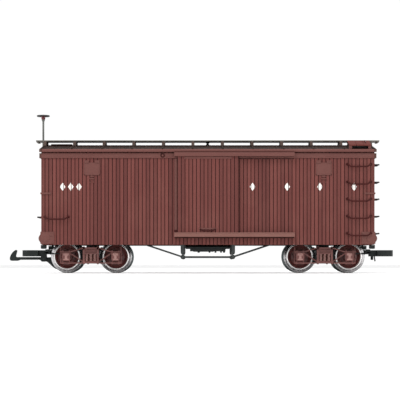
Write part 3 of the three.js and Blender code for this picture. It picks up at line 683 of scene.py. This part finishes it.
# ---- doors and tracks
def tracks(place, side):
    low, high = corners("upper_track_near")
    x0, x1 = low.x - CENTRE_X, high.x - CENTRE_X
    out, lip, wall = -low.y, -low.y - 1.6, BODY_Y + 0.1
    upper, lower = Form(place), Form(place)
    outline = [(lip, 122.7), (out - 0.35, 122.7), (out, 123.1), (out, 126.1), (out - 0.8, 127),
               (TRIM_Y + 0.2, 127), (TRIM_Y + 0.2, 125.1), (lip, 125.1)]
    upper.prism(scaled(outline, -1), x0, x1, "yz")
    for x in (x0 + 6, x0 + 40, x1 - 40, x1 - 6):
        upper.disc((x, -out + 0.05, 124.7), "y", 0.7, -0.04)
    # Dark strips under the upper track on each side of the closed door: painted shadow.
    for span in ((x0 + 0.4, -36), (DOOR_X + 0.4, x1 - 0.4)):
        upper.block(span, (-BODY_Y - 0.08, -BODY_Y + 0.3), (TRIM_Z[0] - 0.9, TRIM_Z[0] - 0.05), 1)
    upper.done(f"upper_track_{side}_rail", [TRIM, GROOVE_AND_SHADE], [f"upper_track_{side}"], 0.14)
    outline = [(wall, 38.2), (out - 1, 38.2), (out - 0.5, 37.9), (out, 38.3), (out, 39.2),
               (out - 0.5, 39.7), (out - 0.5, 41.6), (out - 0.1, 42.1), (out - 0.4, 42.7),
               (lip, 42.7), (lip, 40.5), (wall, 40.5)]
    lower.prism(scaled(outline, -1), x0, x1, "yz")
    # A dark strip along the foot of the lower track: painted shadow.
    lower.block((x0 + 0.4, x1 - 0.4), (-BODY_Y - 0.5, -BODY_Y + 0.2), (36.9, 38.3), 1)
    lower.done(f"lower_track_{side}_rail", [RAIL, GROOVE_AND_SHADE], [f"lower_track_{side}"], 0.14)


def door(place, side):
    body = f"door_{side}"
    form, handle, rail = Form(place), Form(place), Form(place)
    count = 16
    pitch = 2 * DOOR_X / count
    front, back = DOOR_FACE, DOOR_BACK - 0.6
    for i in range(count):
        x0 = -DOOR_X + i * pitch
        form.tone = dice.uniform(0.1, 0.9)
        section = chamfered(x0, x0 + pitch, back, front)
        form.prism(section, *DOOR_Z, "xy", 0, GROOVED)
        for z in (DOOR_Z[0] + 4.6, 82, DOOR_Z[1] - 5):
            form.nail((x0 + pitch / 2, front, z), "y", -0.1)
    for z in (47, 81, 114):
        form.block((-DOOR_X + 1, DOOR_X - 1), (back - 0.1, DOOR_BACK), (z - 2.5, z + 2.5))
    form.done(f"door_boards_{side}", [BOARDS, GROOVE_AND_SHADE], [body], body=body)
    handle.block((-9.3, 9.3), (front - 0.5, front + 0.2), (46.2, 47.6))
    half = [(-7.6, 0.1, 46.9), (-7.6, -0.8, 46.4), (-6.8, -1.1, 45.2), (-5.6, -1.1, 44.7)]
    bar = [(x, front + y, z) for x, y, z in half]
    # The bar is in the darkened brown: painted shade.
    handle.rod(bar + [(-x, y, z) for x, y, z in reversed(bar)], 0.6, 10, 1)
    handle.done(f"door_handle_{side}", [TRIM, DARKENED_BROWN], bevel=0.1, body=body)
    rail.block((-25, 25), (front - 0.45, front + 0.4), (120.2, 122.4))
    rail.done(f"door_top_rail_{side}", [TRIM], bevel=0.15, body=body)


# ---- grab irons
def grab_iron(place, name, start, end, z, out, drop, look, nodes=()):
    """A grab iron on a wall, whose bar hangs below its two feet by the drop. Start and end
    are the feet in plan, and out is the way from the wall, as long as the iron's reach."""
    form = Form(place)
    a, b = Vector((*start, z + drop)), Vector((*end, z + drop))
    along = (b - a).normalized()
    out = Vector((*out, 0))
    reach = out.normalized()
    fall = Vector((0, 0, -drop))
    half = [(0, 0, 0), (0.55, 0.1, 0), (0.85, 0.7, 0.1), (1, 1.7, 0.4), (1, 3.2, 0.82),
            (1, 4.6, 1)]
    path = [a - reach * 0.3] + [a + out * o + along * s + fall * f for o, s, f in half]
    path += [b + out * o - along * s + fall * f for o, s, f in reversed(half)] + [b - reach * 0.3]
    form.rod(path, 0.8, 10)
    axis, sign = ("y", reach.y) if abs(reach.y) > 0.5 else ("x", reach.x)
    boss = [(0, 0), (1.5, 0), (1.4, 0.4), (0.9, 0.7), (0, 0.7)]
    for foot in (a, b):
        form.turned(scaled(boss, 1, sign), foot - reach * 0.05, axis, 14)
    form.done(name, [look], nodes)


RUNG_Z = [112.2, 93.7, 75.8, 57.6, 39.5]
LONE_GRAB_Z = 56.8
SIDE_DROP, END_DROP, END_RISE = 2.5, -0.3, 2.4


def ladders(place, side, end):
    """The side and end irons at one corner, and the lone irons at the other."""
    (a, b), (c, d) = (146.8, 171.8), (28.8, 51.2)  # where the feet stand
    # The side irons are in the darkened brown: painted shade.
    for number, z in enumerate(RUNG_Z, 1):
        base = BODY_Y + (0.95 if z < 43 else 0)
        nodes = [f"side_ladder_{side}"], [f"end_ladder_{end}"]
        if number != 3:
            nodes = (), ()
        grab_iron(place, f"side_rung_{side}_{number}", (a, -base), (b, -base), z,
                  (0, base - BODY_Y - 3.2), SIDE_DROP, DARKENED_BROWN, nodes[0])
        grab_iron(place, f"end_rung_{end}_{number}", (BODY_X, -d), (BODY_X, -c), z + END_RISE,
                  (5.2, 0), END_DROP, END_GRAB, nodes[1])
    grab_iron(place, f"side_grab_{side}_iron", (-b, -BODY_Y), (-a, -BODY_Y), LONE_GRAB_Z,
              (0, -3.2), SIDE_DROP, DARKENED_BROWN, [f"side_grab_{side}"])
    grab_iron(place, f"end_grab_{end}_iron", (BODY_X, c), (BODY_X, d), LONE_GRAB_Z + END_RISE,
              (4.2, 0), END_DROP, END_GRAB, [f"end_grab_{end}"])


# ---- hand brake
def hand_brake():
    low, high = corners("brake_wheel")
    x, y, body = STAFF_X, STAFF_Y, "brake_spindle"
    thick, rim_z = 0.95, 171.3
    radius = (high.x - low.x) / 2 - thick
    rim, hub, staff, teeth = Form(), Form(), Form(), Form()
    arc = [2 * pi * k / 14 for k in range(14)]
    rim.turned([(radius + thick * cos(a), thick * sin(a)) for a in arc], (x, y, rim_z), "z", 56,
               ring=True)
    rim.done("brake_wheel_rim", [BRAKE_BLACK], body=body)
    hub.turned([(0, 170), (2, 170), (2.7, 170.6), (2.7, 171.9), (1.8, 172.6), (0, 172.95)],
               (x, y, 0), "z", 28)
    for k in range(5):
        turn = 2 * pi * k / 5 + 0.3
        spoke = ((1.4, 172.1), (3.4, 172), (radius - 0.2, rim_z))
        hub.rod([(x + r * cos(turn), y + r * sin(turn), z) for r, z in spoke], 0.5, 8)
    hub.done("brake_wheel_hub", [BRAKE_RED], ["brake_wheel"], body=body)
    foot = corners("brake_staff")[0].z
    shaft = [(0, foot), (0.8, foot), (1.05, foot + 0.4), (1.05, 164.9), (1.3, 165.6),
             (1.9, 167.6), (2.25, 168.9), (2.25, 169.7), (0, 169.7)]
    staff.turned(shaft, (x, y, 0), "z", 20, [0] * 5 + [1] * 3)
    staff.done("brake_staff_rod", [STAFF, BRAKE_RED], ["brake_staff"], body=body)
    tooth = ((2.35, 0), (1.85, 0.8))
    turns = [(r, 2 * pi * (k + step) / 12) for k in range(12) for r, step in tooth]
    teeth.prism([(x + r * cos(a), y + r * sin(a)) for r, a in turns], 115.4, 117)
    teeth.done("brake_ratchet", [BLACK], body=body)
    bracket = Form()
    reach = STAFF_X - 2.1
    for z in (44, 113):
        for edge in (STAFF_Y - 1.75, STAFF_Y + 1.75):
            bracket.block((reach, -BODY_X + 0.2), (edge - 0.55, edge + 0.55), (z, z + 1.6))
        bracket.block((reach, reach + 0.9), (STAFF_Y - 2.3, STAFF_Y + 2.3), (z, z + 1.6))
        bracket.block((-BODY_X - 0.6, -BODY_X + 0.2), (STAFF_Y - 3.4, STAFF_Y + 3.4),
                      (z - 2, z + 3.6))
    bracket.done("brake_staff_brackets", [BLACK], bevel=0.15, slot="body_brown")


# ---- underframe
def underframe():
    deck, pan = Form(), Form()
    count = 44
    half, across = BODY_X - 2.4, (-BODY_Y + 2.4, BODY_Y - 2.4)
    pitch = 2 * half / count
    for i in range(count):
        x0 = -half + i * pitch
        deck.tone = dice.uniform(0.2, 0.8)
        deck.block((x0 + 0.1, x0 + pitch - 0.1), across, (DECK_Z - 0.8, DECK_Z))
    deck.done("deck_boards", [PLANKS], ["cargo_floor"], 0.12)
    pan.block((-half, half), across, (PAN_Z, PAN_Z + 2))
    top = PAN_Z + 0.2
    for y in (-12, 12):
        pan.block((-70, 70), (y - 2, y + 2), (33.5, top))
    for y in (-50.6, 50.6):
        pan.block((-BODY_X + 7, BODY_X - 7), (y - 2.4, y + 2.4), (32, top))
    for x in (-165, -72, 72, 165):
        pan.block((x - 2.5, x + 2.5), (-48, 48), (35.6, top))
    for x in (-BOGIE_X, BOGIE_X):
        boss = [(0, 25.3), (6.6, 25.3), (7, 25.7), (7, 33), (8.4, PAN_Z), (0, PAN_Z)]
        pan.turned(boss, (x, 0, 0))
        for k in range(4):
            a = pi * (k + 0.5) / 2
            pan.rod([(x + r * cos(a), r * sin(a), z) for r, z in ((6, 36.8), (15, PAN_Z + 0.1))],
                    1.2, 8)
    pan.done("floor_frame", [BLACK], ["floor_pan"], 0.2)
    foot = [(170.6, 29.6), (170.6, 26.2), (171.4, 25.6), (175.6, 25.6), (176.3, 26.2),
            (176.3, 29.6)]
    for place, end in ((NEAR, "right"), (FAR, "left")):
        beam = Form(place)
        beam.block((169.6, 172.8), (-53.2, 53.2), (31.2, 34.4))
        for y0, y1 in ((-52.8, -45.6), (45.6, 52.8)):
            beam.block((170.6, 172.8), (y0, y1), (29, 32))
            beam.prism(foot, y0, y1, "xz")
            beam.disc((173.4, (y0 + y1) / 2, 25.7), "z", 1.1, -0.15)
        beam.done(f"end_beam_{end}_block", [BLACK], [f"end_beam_{end}"], 0.2)


POST_X = 26.6


def truss(place, side):
    rod_y, rod_z = -47, 17
    end_x, end_z = 86, 36.7
    rods = Form(place)
    bend = 1.6
    rise = (end_z - rod_z) / (end_x - POST_X)
    half = [(end_x, end_z), (POST_X + bend * 2, rod_z + bend * 2 * rise),
            (POST_X + bend, rod_z + 0.3), (POST_X, rod_z + 0.05), (POST_X - bend, rod_z)]
    rods.rod([(x, rod_y, z) for x, z in half + mirrored(half)], 0.92)
    for turn in (-1, 1):
        x = turn * end_x
        rods.ball((turn * POST_X, rod_y, rod_z), 2.38, 8, 20)
        rods.block((x - 2.8, x + 2.8), (rod_y - 1.9, rod_y + 1.9), (34.9, PAN_Z - 0.1))
    rods.done(f"truss_rod_{side}_bar", [TRUSS], [f"truss_rod_{side}"])


def queen_posts(place, end):
    form = Form(place)
    form.block((POST_X - 2.2, POST_X + 2.2), (-49.8, 49.8), (31.1, PAN_Z - 0.1))
    post = [(0, 19.7), (1.5, 19.7), (1.7, 20.4), (2.1, 21.4), (2.2, 22.4), (2.2, 29.4),
            (2.3, 29.8), (2.3, 31.4), (0, 31.4)]
    for y in (-47, 47):
        form.turned(post, (POST_X, y, 0), "z", 20)
    form.done(f"queen_posts_{end}_casting", [TRUSS], [f"queen_posts_{end}"], 0.15)


def brake_gear():
    form = Form()
    along = (-23.8, 23.8)
    form.block(along, (-42.8, 42.8), (27.6, 29.5))
    for y in (-42.8, -12, 8.6, 39.4):
        form.block(along, (y, y + 3.4), (26.1, 29.5))
    form.block((-10, 10), (-8, 8), (29, PAN_Z - 0.1))
    form.block((-18.9, 18.8), (-40.9, -25.1), (23.1, 28.2))
    for x, r in ((-9.7, 1.3), (1.8, 1), (8.2, 1.1), (14.1, 1), (17.3, 1.2)):
        knob = [(0, 21.6), (r * 0.7, 21.6), (r, 22.1), (r, 23.7), (0, 23.7)]
        form.turned(knob, (x, -33, 0), "z", 12)
    drum = [(0, -16), (3.6, -16), (4.1, -15.2), (4.1, 5), (4.2, 5.2), (4.2, 6.6), (3.7, 6.6),
            (2.9, 7.4), (0, 7.4)]
    form.turned(drum, (0, 20, 27), "x", 28)
    form.rod([(7, 20, 26), (15.5, 20, 26)], 0.8, 10)
    form.block((15.2, 16.8), (4, 34), (25.2, 26.8))
    for x, y in ((22.8, 6), (-22.8, 32)):
        form.rod([(16, y, 25.6), (x, y, 27)], 0.6, 8)
    for y in (6, 20, 32):
        form.disc((16, y, 24.5), "z", 0.9, 2.4, 10)
    form.done("brake_cylinder_group", [BLACK], ["brake_gear"], 0.15)


# ---- bogies
def side_frame(place, body, end, side):
    """An arch-bar side frame, on the -Y side of the bogie."""
    tip, pack, column = 32.8, 8.5, 7.4
    arch = AXLE_X - 4.55
    inner, rod_y = -34, -37.4
    form = Form(place)
    for half, thick in (
        ([(tip, 21.9), (arch - 0.4, 21.9), (pack, 25.9)], 1.3),
        ([(tip - 1.5, 20.6), (arch + 0.6, 20.6), (pack, 11.5)], 1.3),
        ([(tip, 10)], 1.2),
    ):
        lower = scaled(half, -1) + half[::-1]
        upper = [(x, z + thick) for x, z in reversed(lower)]
        form.prism(lower + upper, -38.4, -35, "xz")
    # The back plate behind the springs has look 1, the painted shade.
    for x, y, low, high, look in (
        (8.3, -39, 20.2, 22, 0), (8.3, -38.6, 22.4, 24.4, 0), (8.3, -39.2, 24.8, 27.4, 0),
        (8.3, -35.8, 10.8, 27.2, 1), (8.5, -39.2, 10.2, 11.9, 0),
    ):
        form.block((-x, x), (y, inner), (low, high), look)
    # The springs have look 2, the light brown of a painted highlight.
    coil = [(2 * pi * k / 12, 12.2 + 7.7 * k / 60) for k in range(61)]
    for x in (-4.3, 0, 4.3):
        form.rod([(x + 1.15 * cos(a), -37.9 + 1.15 * sin(a), z) for a, z in coil], 0.5, 6, 2)
        form.turned([(0, 11.8), (1.9, 11.8), (1.7, 12.4), (0, 12.4)], (x, -38, 0), "z", 16)
    for way in (-1, 1):
        post, brace = way * column, way * (tip - 0.7)
        form.block((post - 1.1, post + 1.1), (-39.2, inner), (11.5, 27.5))
        for x in (way * AXLE_X - 3.5, way * AXLE_X + 3.5):
            form.rod([(x, rod_y, 9.8), (x, rod_y, 24)], 0.55, 8)
            for z, tall in ((9.4, 0.7), (23.1, 0.9)):
                form.disc((x, rod_y, z), "z", 1, tall)
        for z, tall in ((9.3, 0.9), (27.4, 0.8)):
            form.disc((post, -37.6, z), "z", 1.1, tall)
        form.rod([(brace, -36.7, 10.4), (brace, -36.7, 28.3)], 0.5, 8)
    name = f"arch_bars_{end}_{side}"
    form.done(name, [FRAME, SHADE_BROWN, HIGHLIGHT_BROWN], [f"side_frame_{end}_{side}"], 0.14, body)

    z0, z1, face = 12.8, 21.8, -39.6
    raised = (face - 0.7, face)
    shell = [(4.4, z0 + 1.2), (3.2, z0), (-3.2, z0), (-4.4, z0 + 1.2), (-4.5, z1), (4.5, z1)]
    lid = [(3.3, z0 + 1.5), (2.5, z0 + 0.9), (-2.5, z0 + 0.9), (-3.3, z0 + 1.5),
           (-3.3, z1 - 1.6), (3.3, z1 - 1.6)]
    for way, where in ((-1, "inner"), (1, "outer")):
        box = Form(place @ Matrix.Translation((way * AXLE_X, 0, 0)))
        box.prism(shell, face, -33.8, "xz")
        box.prism(lid, face - 0.3, face + 0.2, "xz")
        # The raised ribs and the bar across each lid have look 1, a painted highlight.
        for half, low, high in ((2.9, z0 + 1, z0 + 2.4), (2.9, z1 - 3.2, z1 - 1.7),
                                (1.3, z0 + 2.2, z1 - 3)):
            box.block((-half, half), raised, (low, high), 1)
        box.rod([(a, face - 0.1, z1 - 1) for a in (-2.6, 2.6)], 0.5, 10, 1)
        box.done(f"{name}_journal_{where}", [FRAME, HIGHLIGHT_BROWN], (), 0.2, body)


def bogie(end):
    """One bogie in its own frame, with +X towards its coupler."""
    hooked = end == "left"
    way = -1 if hooked else 1
    spin = HALF_TURN if hooked else Matrix.Identity(4)
    place = NEAR @ Matrix.Translation((way * BOGIE_X, 0, 0)) @ spin
    body = f"bogie_{end}"
    sides = ("near", "far")[::way]
    side_frame(place, body, end, sides[0])
    side_frame(place @ HALF_TURN, body, end, sides[1])
    beam = Form(place)
    beam.block((-6.8, 6.8), (-33.4, 33.4), (18.2, 24.2))
    beam.block((-5.6, 5.6), (-33.4, 33.4), (17, 18.6))
    for y in (-22, 22):
        beam.block((-6.2, 6.2), (y - 3, y + 3), (24, 25))
    beam.turned([(2, 24), (6.8, 24), (6.8, 25), (2, 25)], ring=True)
    arc = [radians(-24 + 8 * k) for k in range(7)]
    shoe = [(AXLE_X - 15.4 * cos(a), AXLE_Z + 15.4 * sin(a)) for a in arc]
    shoe += [(AXLE_X - 17.1 * cos(a), AXLE_Z + 17.1 * sin(a)) for a in arc[::-1]]
    for side in (-1, 1):
        for y in (-23.5, 23.5):
            beam.prism(scaled(shoe, side), y - 1.6, y + 1.6, "xz")
    beam.done(f"bolster_{end}_casting", [BLACK], [f"bolster_{end}"], 0.18, body)
    screw = Form(place)
    z = 14.6
    screw.turned([(0, z), (2.4, z), (3.1, z + 0.6), (3.2, z + 1.2), (3.2, z + 2.1), (1.5, z + 2.1),
                  (1.5, 36), (0, 36)], segments=28)
    screw.block((-2.6, 2.6), (-0.35, 0.35), (z - 0.02, z + 0.25), 1)
    screw.done(f"pivot_screw_{end}_head", [ZINC, BLACK], [f"pivot_screw_{end}"])
    for where, side in (("inner", -1), ("outer", 1)):
        wheelset(place @ Matrix.Translation((side * AXLE_X, 0, AXLE_Z)), end, where, sides)
    coupler(place, end, body, hooked)


def wheelset(place, end, where, sides):
    body = f"wheelset_{end}_{where}"
    axle = Form(place)
    half = [(0, -36.2), (0.9, -36.2), (1.2, -35.9), (1.2, -29), (1.9, -28.4), (1.9, 0)]
    axle.turned(half + mirrored(half[:-1], 1, -1), axis="y", segments=24)
    axle.done(f"axle_{end}_{where}_shaft", [ZINC], body=body)
    plate = [(1.9, 20.6), (5.2, 20.6), (5.6, 21.6), (9.6, 22.6), (11.6, 21.2), (12.7, 21),
             (12.7, 26.3), (11.9, 26.4), (11.2, 25.4), (9.2, 24.4), (6.4, 25), (6, 26.6),
             (5.5, 27.3), (3.4, 27.6), (1.9, 27.6)]
    ring = [(12.6, 20.3), (12.9, 20), (16.9, 20), (17.3, 20.15), (17.5, 20.5),
            (17.45, 20.95), (17.1, 21.35), (16.2, 21.8), (15.45, 22.2), (15.1, 22.7),
            (14.95, 23.4), (14.6, 26.1), (14.4, 26.4), (14.1, 26.3), (13.95, 26.5),
            (13.8, 26.95), (13.7, 27), (13.05, 27), (12.92, 26.9), (12.85, 26.5),
            (12.6, 26.4)]
    for sign, side in zip((-1, 1), sides):
        middle, tyre = Form(place), Form(place)
        middle.turned(scaled(plate, 1, sign), axis="y", segments=48, ring=True)
        for k in range(8):
            rib = [(5.6 + 1.2 * step, 2 * pi * k / 8 + 0.11 * step, 25 - 0.12 * step)
                   for step in range(6)]
            middle.rod([(r * sin(a), sign * y, r * cos(a)) for r, a, y in rib], 0.55, 6)
        middle.done(f"wheel_centre_{end}_{where}_{side}", [WHEEL],
                    [f"axle_{end}_{where}"] if sign == 1 else (), body=body)
        tyre.turned(scaled(ring, 1, sign), (0, 0, 0), "y", 96,
                    [2] * 6 + [1] * 9 + [0] * 6, True)
        tyre.done(f"tyre_{end}_{where}_{side}_ring", [TYRE, TREAD, FLANGE],
                  [f"tyre_{end}_{where}_{side}"], body=body, smooth=30)


def loop_outline(x0, x1, half, bulge):
    """A loop in plan, square at the arm and round at its nose."""
    arc = [pi * (k / 10 - 0.5) for k in range(11)]
    nose = [(x1 - bulge + bulge * cos(a), half * sin(a)) for a in arc]
    return [(x0, -half), *nose, (x0, half)]


def coupler(place, end, body, hooked):
    form = Form(place)
    x0, x1 = 58.6, 200.7 - BOGIE_X
    z0, z1 = 17.8, 24.5
    arm_z, arm_x = 20.7, (7.3, 52)
    outer = loop_outline(x0, x1, 9.9, 7.5)
    inner = loop_outline(x0 + 2.6, x1 - 2.6, 7.3, 5.4)
    n = len(outer)
    points = [(*p, z) for z in (z0, z1) for p in outer + inner]
    faces = []
    for i in range(n):
        j = (i + 1) % n
        faces += [[i, j, j + 2 * n, i + 2 * n], [n + j, n + i, 3 * n + i, 3 * n + j],
                  [j, i, n + i, n + j], [2 * n + i, 2 * n + j, 3 * n + j, 3 * n + i]]
    form.add(points, faces, 0)
    form.block(arm_x, (-4.9, 4.9), (arm_z, 22.4))
    for y in (-4.9, 3.5):
        form.block(arm_x, (y, y + 1.4), (arm_z, 24.3))
    form.block((50, x0 + 0.5), (-4.4, 4.4), (z0, z1))
    form.block((45.2, 48.8), (-31.8, 31.8), (arm_z, 22.5))
    for y in (-31.8, 28.2):
        form.block((44.1, 48.9), (y, y + 3.6), (19.9, 25.2))
        form.disc((46.5, y + 1.8, 25.1), "z", 1, 0.2)
        form.block((33.5, 46), (y + 1.2, y + 2.4), (20, 21.2))
    form.disc((41, 0, 22.3), "z", 1.8, 1.2)
    if hooked:
        lug = [(49.9, z0 + 0.2), (49.9, 13.2), (51.2, 12.1), (54.9, 12.1), (56.1, 13.2),
               (56.1, z0 + 0.2)]
        for y in (-4.3, 2.1):
            form.prism(lug, y, y + 2.2, "xz")
    else:
        peg = [(0, 14), (1.3, 14), (1.5, 14.3), (1.5, 18), (0, 18)]
        form.turned(peg, (53.6, 0, 0), "z", 18)
        form.rod([(57, 0, 12.4), (56.1, 0, 18)], 0.7)
    form.done(f"coupler_{end}_casting", [BLACK], [f"coupler_{end}"], 0.3, body)
    if hooked:
        hook(place, body)


def hook(place, body):
    """The hook, its tail and washers, and the pin that it tilts on."""
    x, z = 53, 14.9
    reach = 214.3 - BOGIE_X
    claw = [(-11.5, 14.1), (-10.3, 13.6), (-9.2, 13.2), (-8, 13.02), (-2.4, 13.02), (-1.2, 13.2),
            (-0.3, 13.9), (-0.02, 15), (-0.1, 16.4), (-0.5, 17.9), (-1.1, 19.4), (-1.9, 20.8),
            (-2.9, 22.1), (-4, 23.2), (-5.2, 24.2), (-6.3, 24.75), (-7.2, 24.78), (-7.9, 24.4),
            (-7.95, 23), (-7.3, 20.6), (-6.75, 18.5), (-6.8, 17.7), (-7.2, 17.2), (-7.9, 17.05)]
    rear = [(4.2, 17.05), (2.5, 16.8), (-3.5, 16.8), (-7.8, 17), (-8.8, 13.1), (-10, 10.2),
            (-11.3, 7.6), (-14, 4.8), (-13.9, 4.1), (-13.3, 3.85), (-9.8, 6.4), (-7, 9),
            (-4.3, 11.4), (-1.6, 12.9), (0, 12.8), (1.6, 13.1), (5, 14.15)]
    outline = [(reach + a, b) for a, b in claw] + [(x + a, b) for a, b in rear]
    form = Form(place)
    form.prism(outline, -1.5, 1.5, "xz")
    for side in (-1, 1):
        form.disc((x, side * 1.4, z), "y", 2.1, side * 0.2, 20)
    form.done("hook_lever", [BLACK], ["coupler_hook"], 0.3, "hook")
    pin = Form(place)
    pin.disc((x, -4.4, z), "y", 0.8, 8.8, 16)
    pin.done("hook_pin_rod", [DARK_PIN], ["hook_pin"], body=body)


# ---- plain white marks
def marks(place, side):
    """Plain painted lozenges on the board faces, cut at each joint between boards."""
    form = Form(place)
    middle, tall, half = 90.9, 4.3, 3
    for centre_x in (-153, -144.4, -135.8, 47, 83.5, 118, 154):
        for i in range(BOARDS_ALONG):
            a = -BODY_X + i * BOARD + GROOVE_HALF
            b = a + BOARD - 2 * GROOVE_HALF
            a, b = max(a, centre_x - half), min(b, centre_x + half)
            if b - a < 0.1:
                continue
            xs = [a, centre_x, b] if a < centre_x < b else [a, b]
            edge = [(x, (1 - abs(x - centre_x) / half) * tall) for x in xs]
            outline = [(x, middle - t) for x, t in edge]
            outline += [(x, middle + t) for x, t in edge[::-1] if t > 0.01]
            form.prism(outline, -BODY_Y - 0.06, -BODY_Y + 0.1, "xz")
    form.done(f"plain_marks_{side}", [MARK])


# ---- assembly
for place, side, end in ((NEAR, "near", "right"), (FAR, "far", "left")):
    side_wall(place, side)
    door_post(place, side)
    hatches(place, side)
    end_wall(place, end)
    tracks(place, side)
    door(place, side)
    ladders(place, side, end)
    platform(place, side)
    truss(place, side)
    queen_posts(place, end)
    marks(place, side)
letterboards()
roof()
roofwalk()
hand_brake()
underframe()
brake_gear()
bogie("left")
bogie("right")
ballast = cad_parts["ballast_plate"].data.materials
ballast.clear()
ballast.append(ZINC)


# ---- camera, floor and light
def studio():
    scene = bpy.context.scene
    scene.view_settings.view_transform = "Standard"
    pale = Look("pale_floor")
    pale.shader.inputs["Base Color"].default_value = (0.86, 0.86, 0.86, 1)
    pale.shader.inputs["Roughness"].default_value = 0.7
    floor = bpy.data.meshes.new("floor")
    floor.from_pydata([(-12, -12, 0), (12, -12, 0), (12, 12, 0), (-12, 12, 0)], [], [range(4)])
    floor.materials.append(pale.material)
    in_scene("floor", floor)

    world = bpy.data.worlds.new("studio")
    world.use_nodes = True
    sky = world.node_tree.nodes["Background"].inputs
    sky["Color"].default_value = (1, 1, 1, 1)
    sky["Strength"].default_value = 1.02
    scene.world = world

    for name, spot, aim, size, power in (
        ("key", (-0.8, -1.1, 1.7), (0, 0, 0.08), 0.9, 17),
        ("fill", (1.2, -1.5, 0.5), (0, 0, 0.08), 1.2, 6),
        ("back", (0.2, 1.2, 1.2), (0, 0, 0.1), 1.2, 7),
    ):
        lamp = bpy.data.lights.new(name, "AREA")
        lamp.size = size
        lamp.energy = power
        light = in_scene(name, lamp)
        light.location = spot
        way = Vector(aim) - Vector(spot)
        light.rotation_euler = way.to_track_quat("-Z", "Y").to_euler()

    lens = bpy.data.cameras.new("camera")
    lens.lens = 166.1
    lens.shift_y = 0.16
    lens.clip_end = 50
    scene.camera = in_scene("camera", lens)
    scene.camera.location = (-0.0015, -2, 0.00956)
    scene.camera.rotation_euler = (pi / 2, 0, 0)


studio()
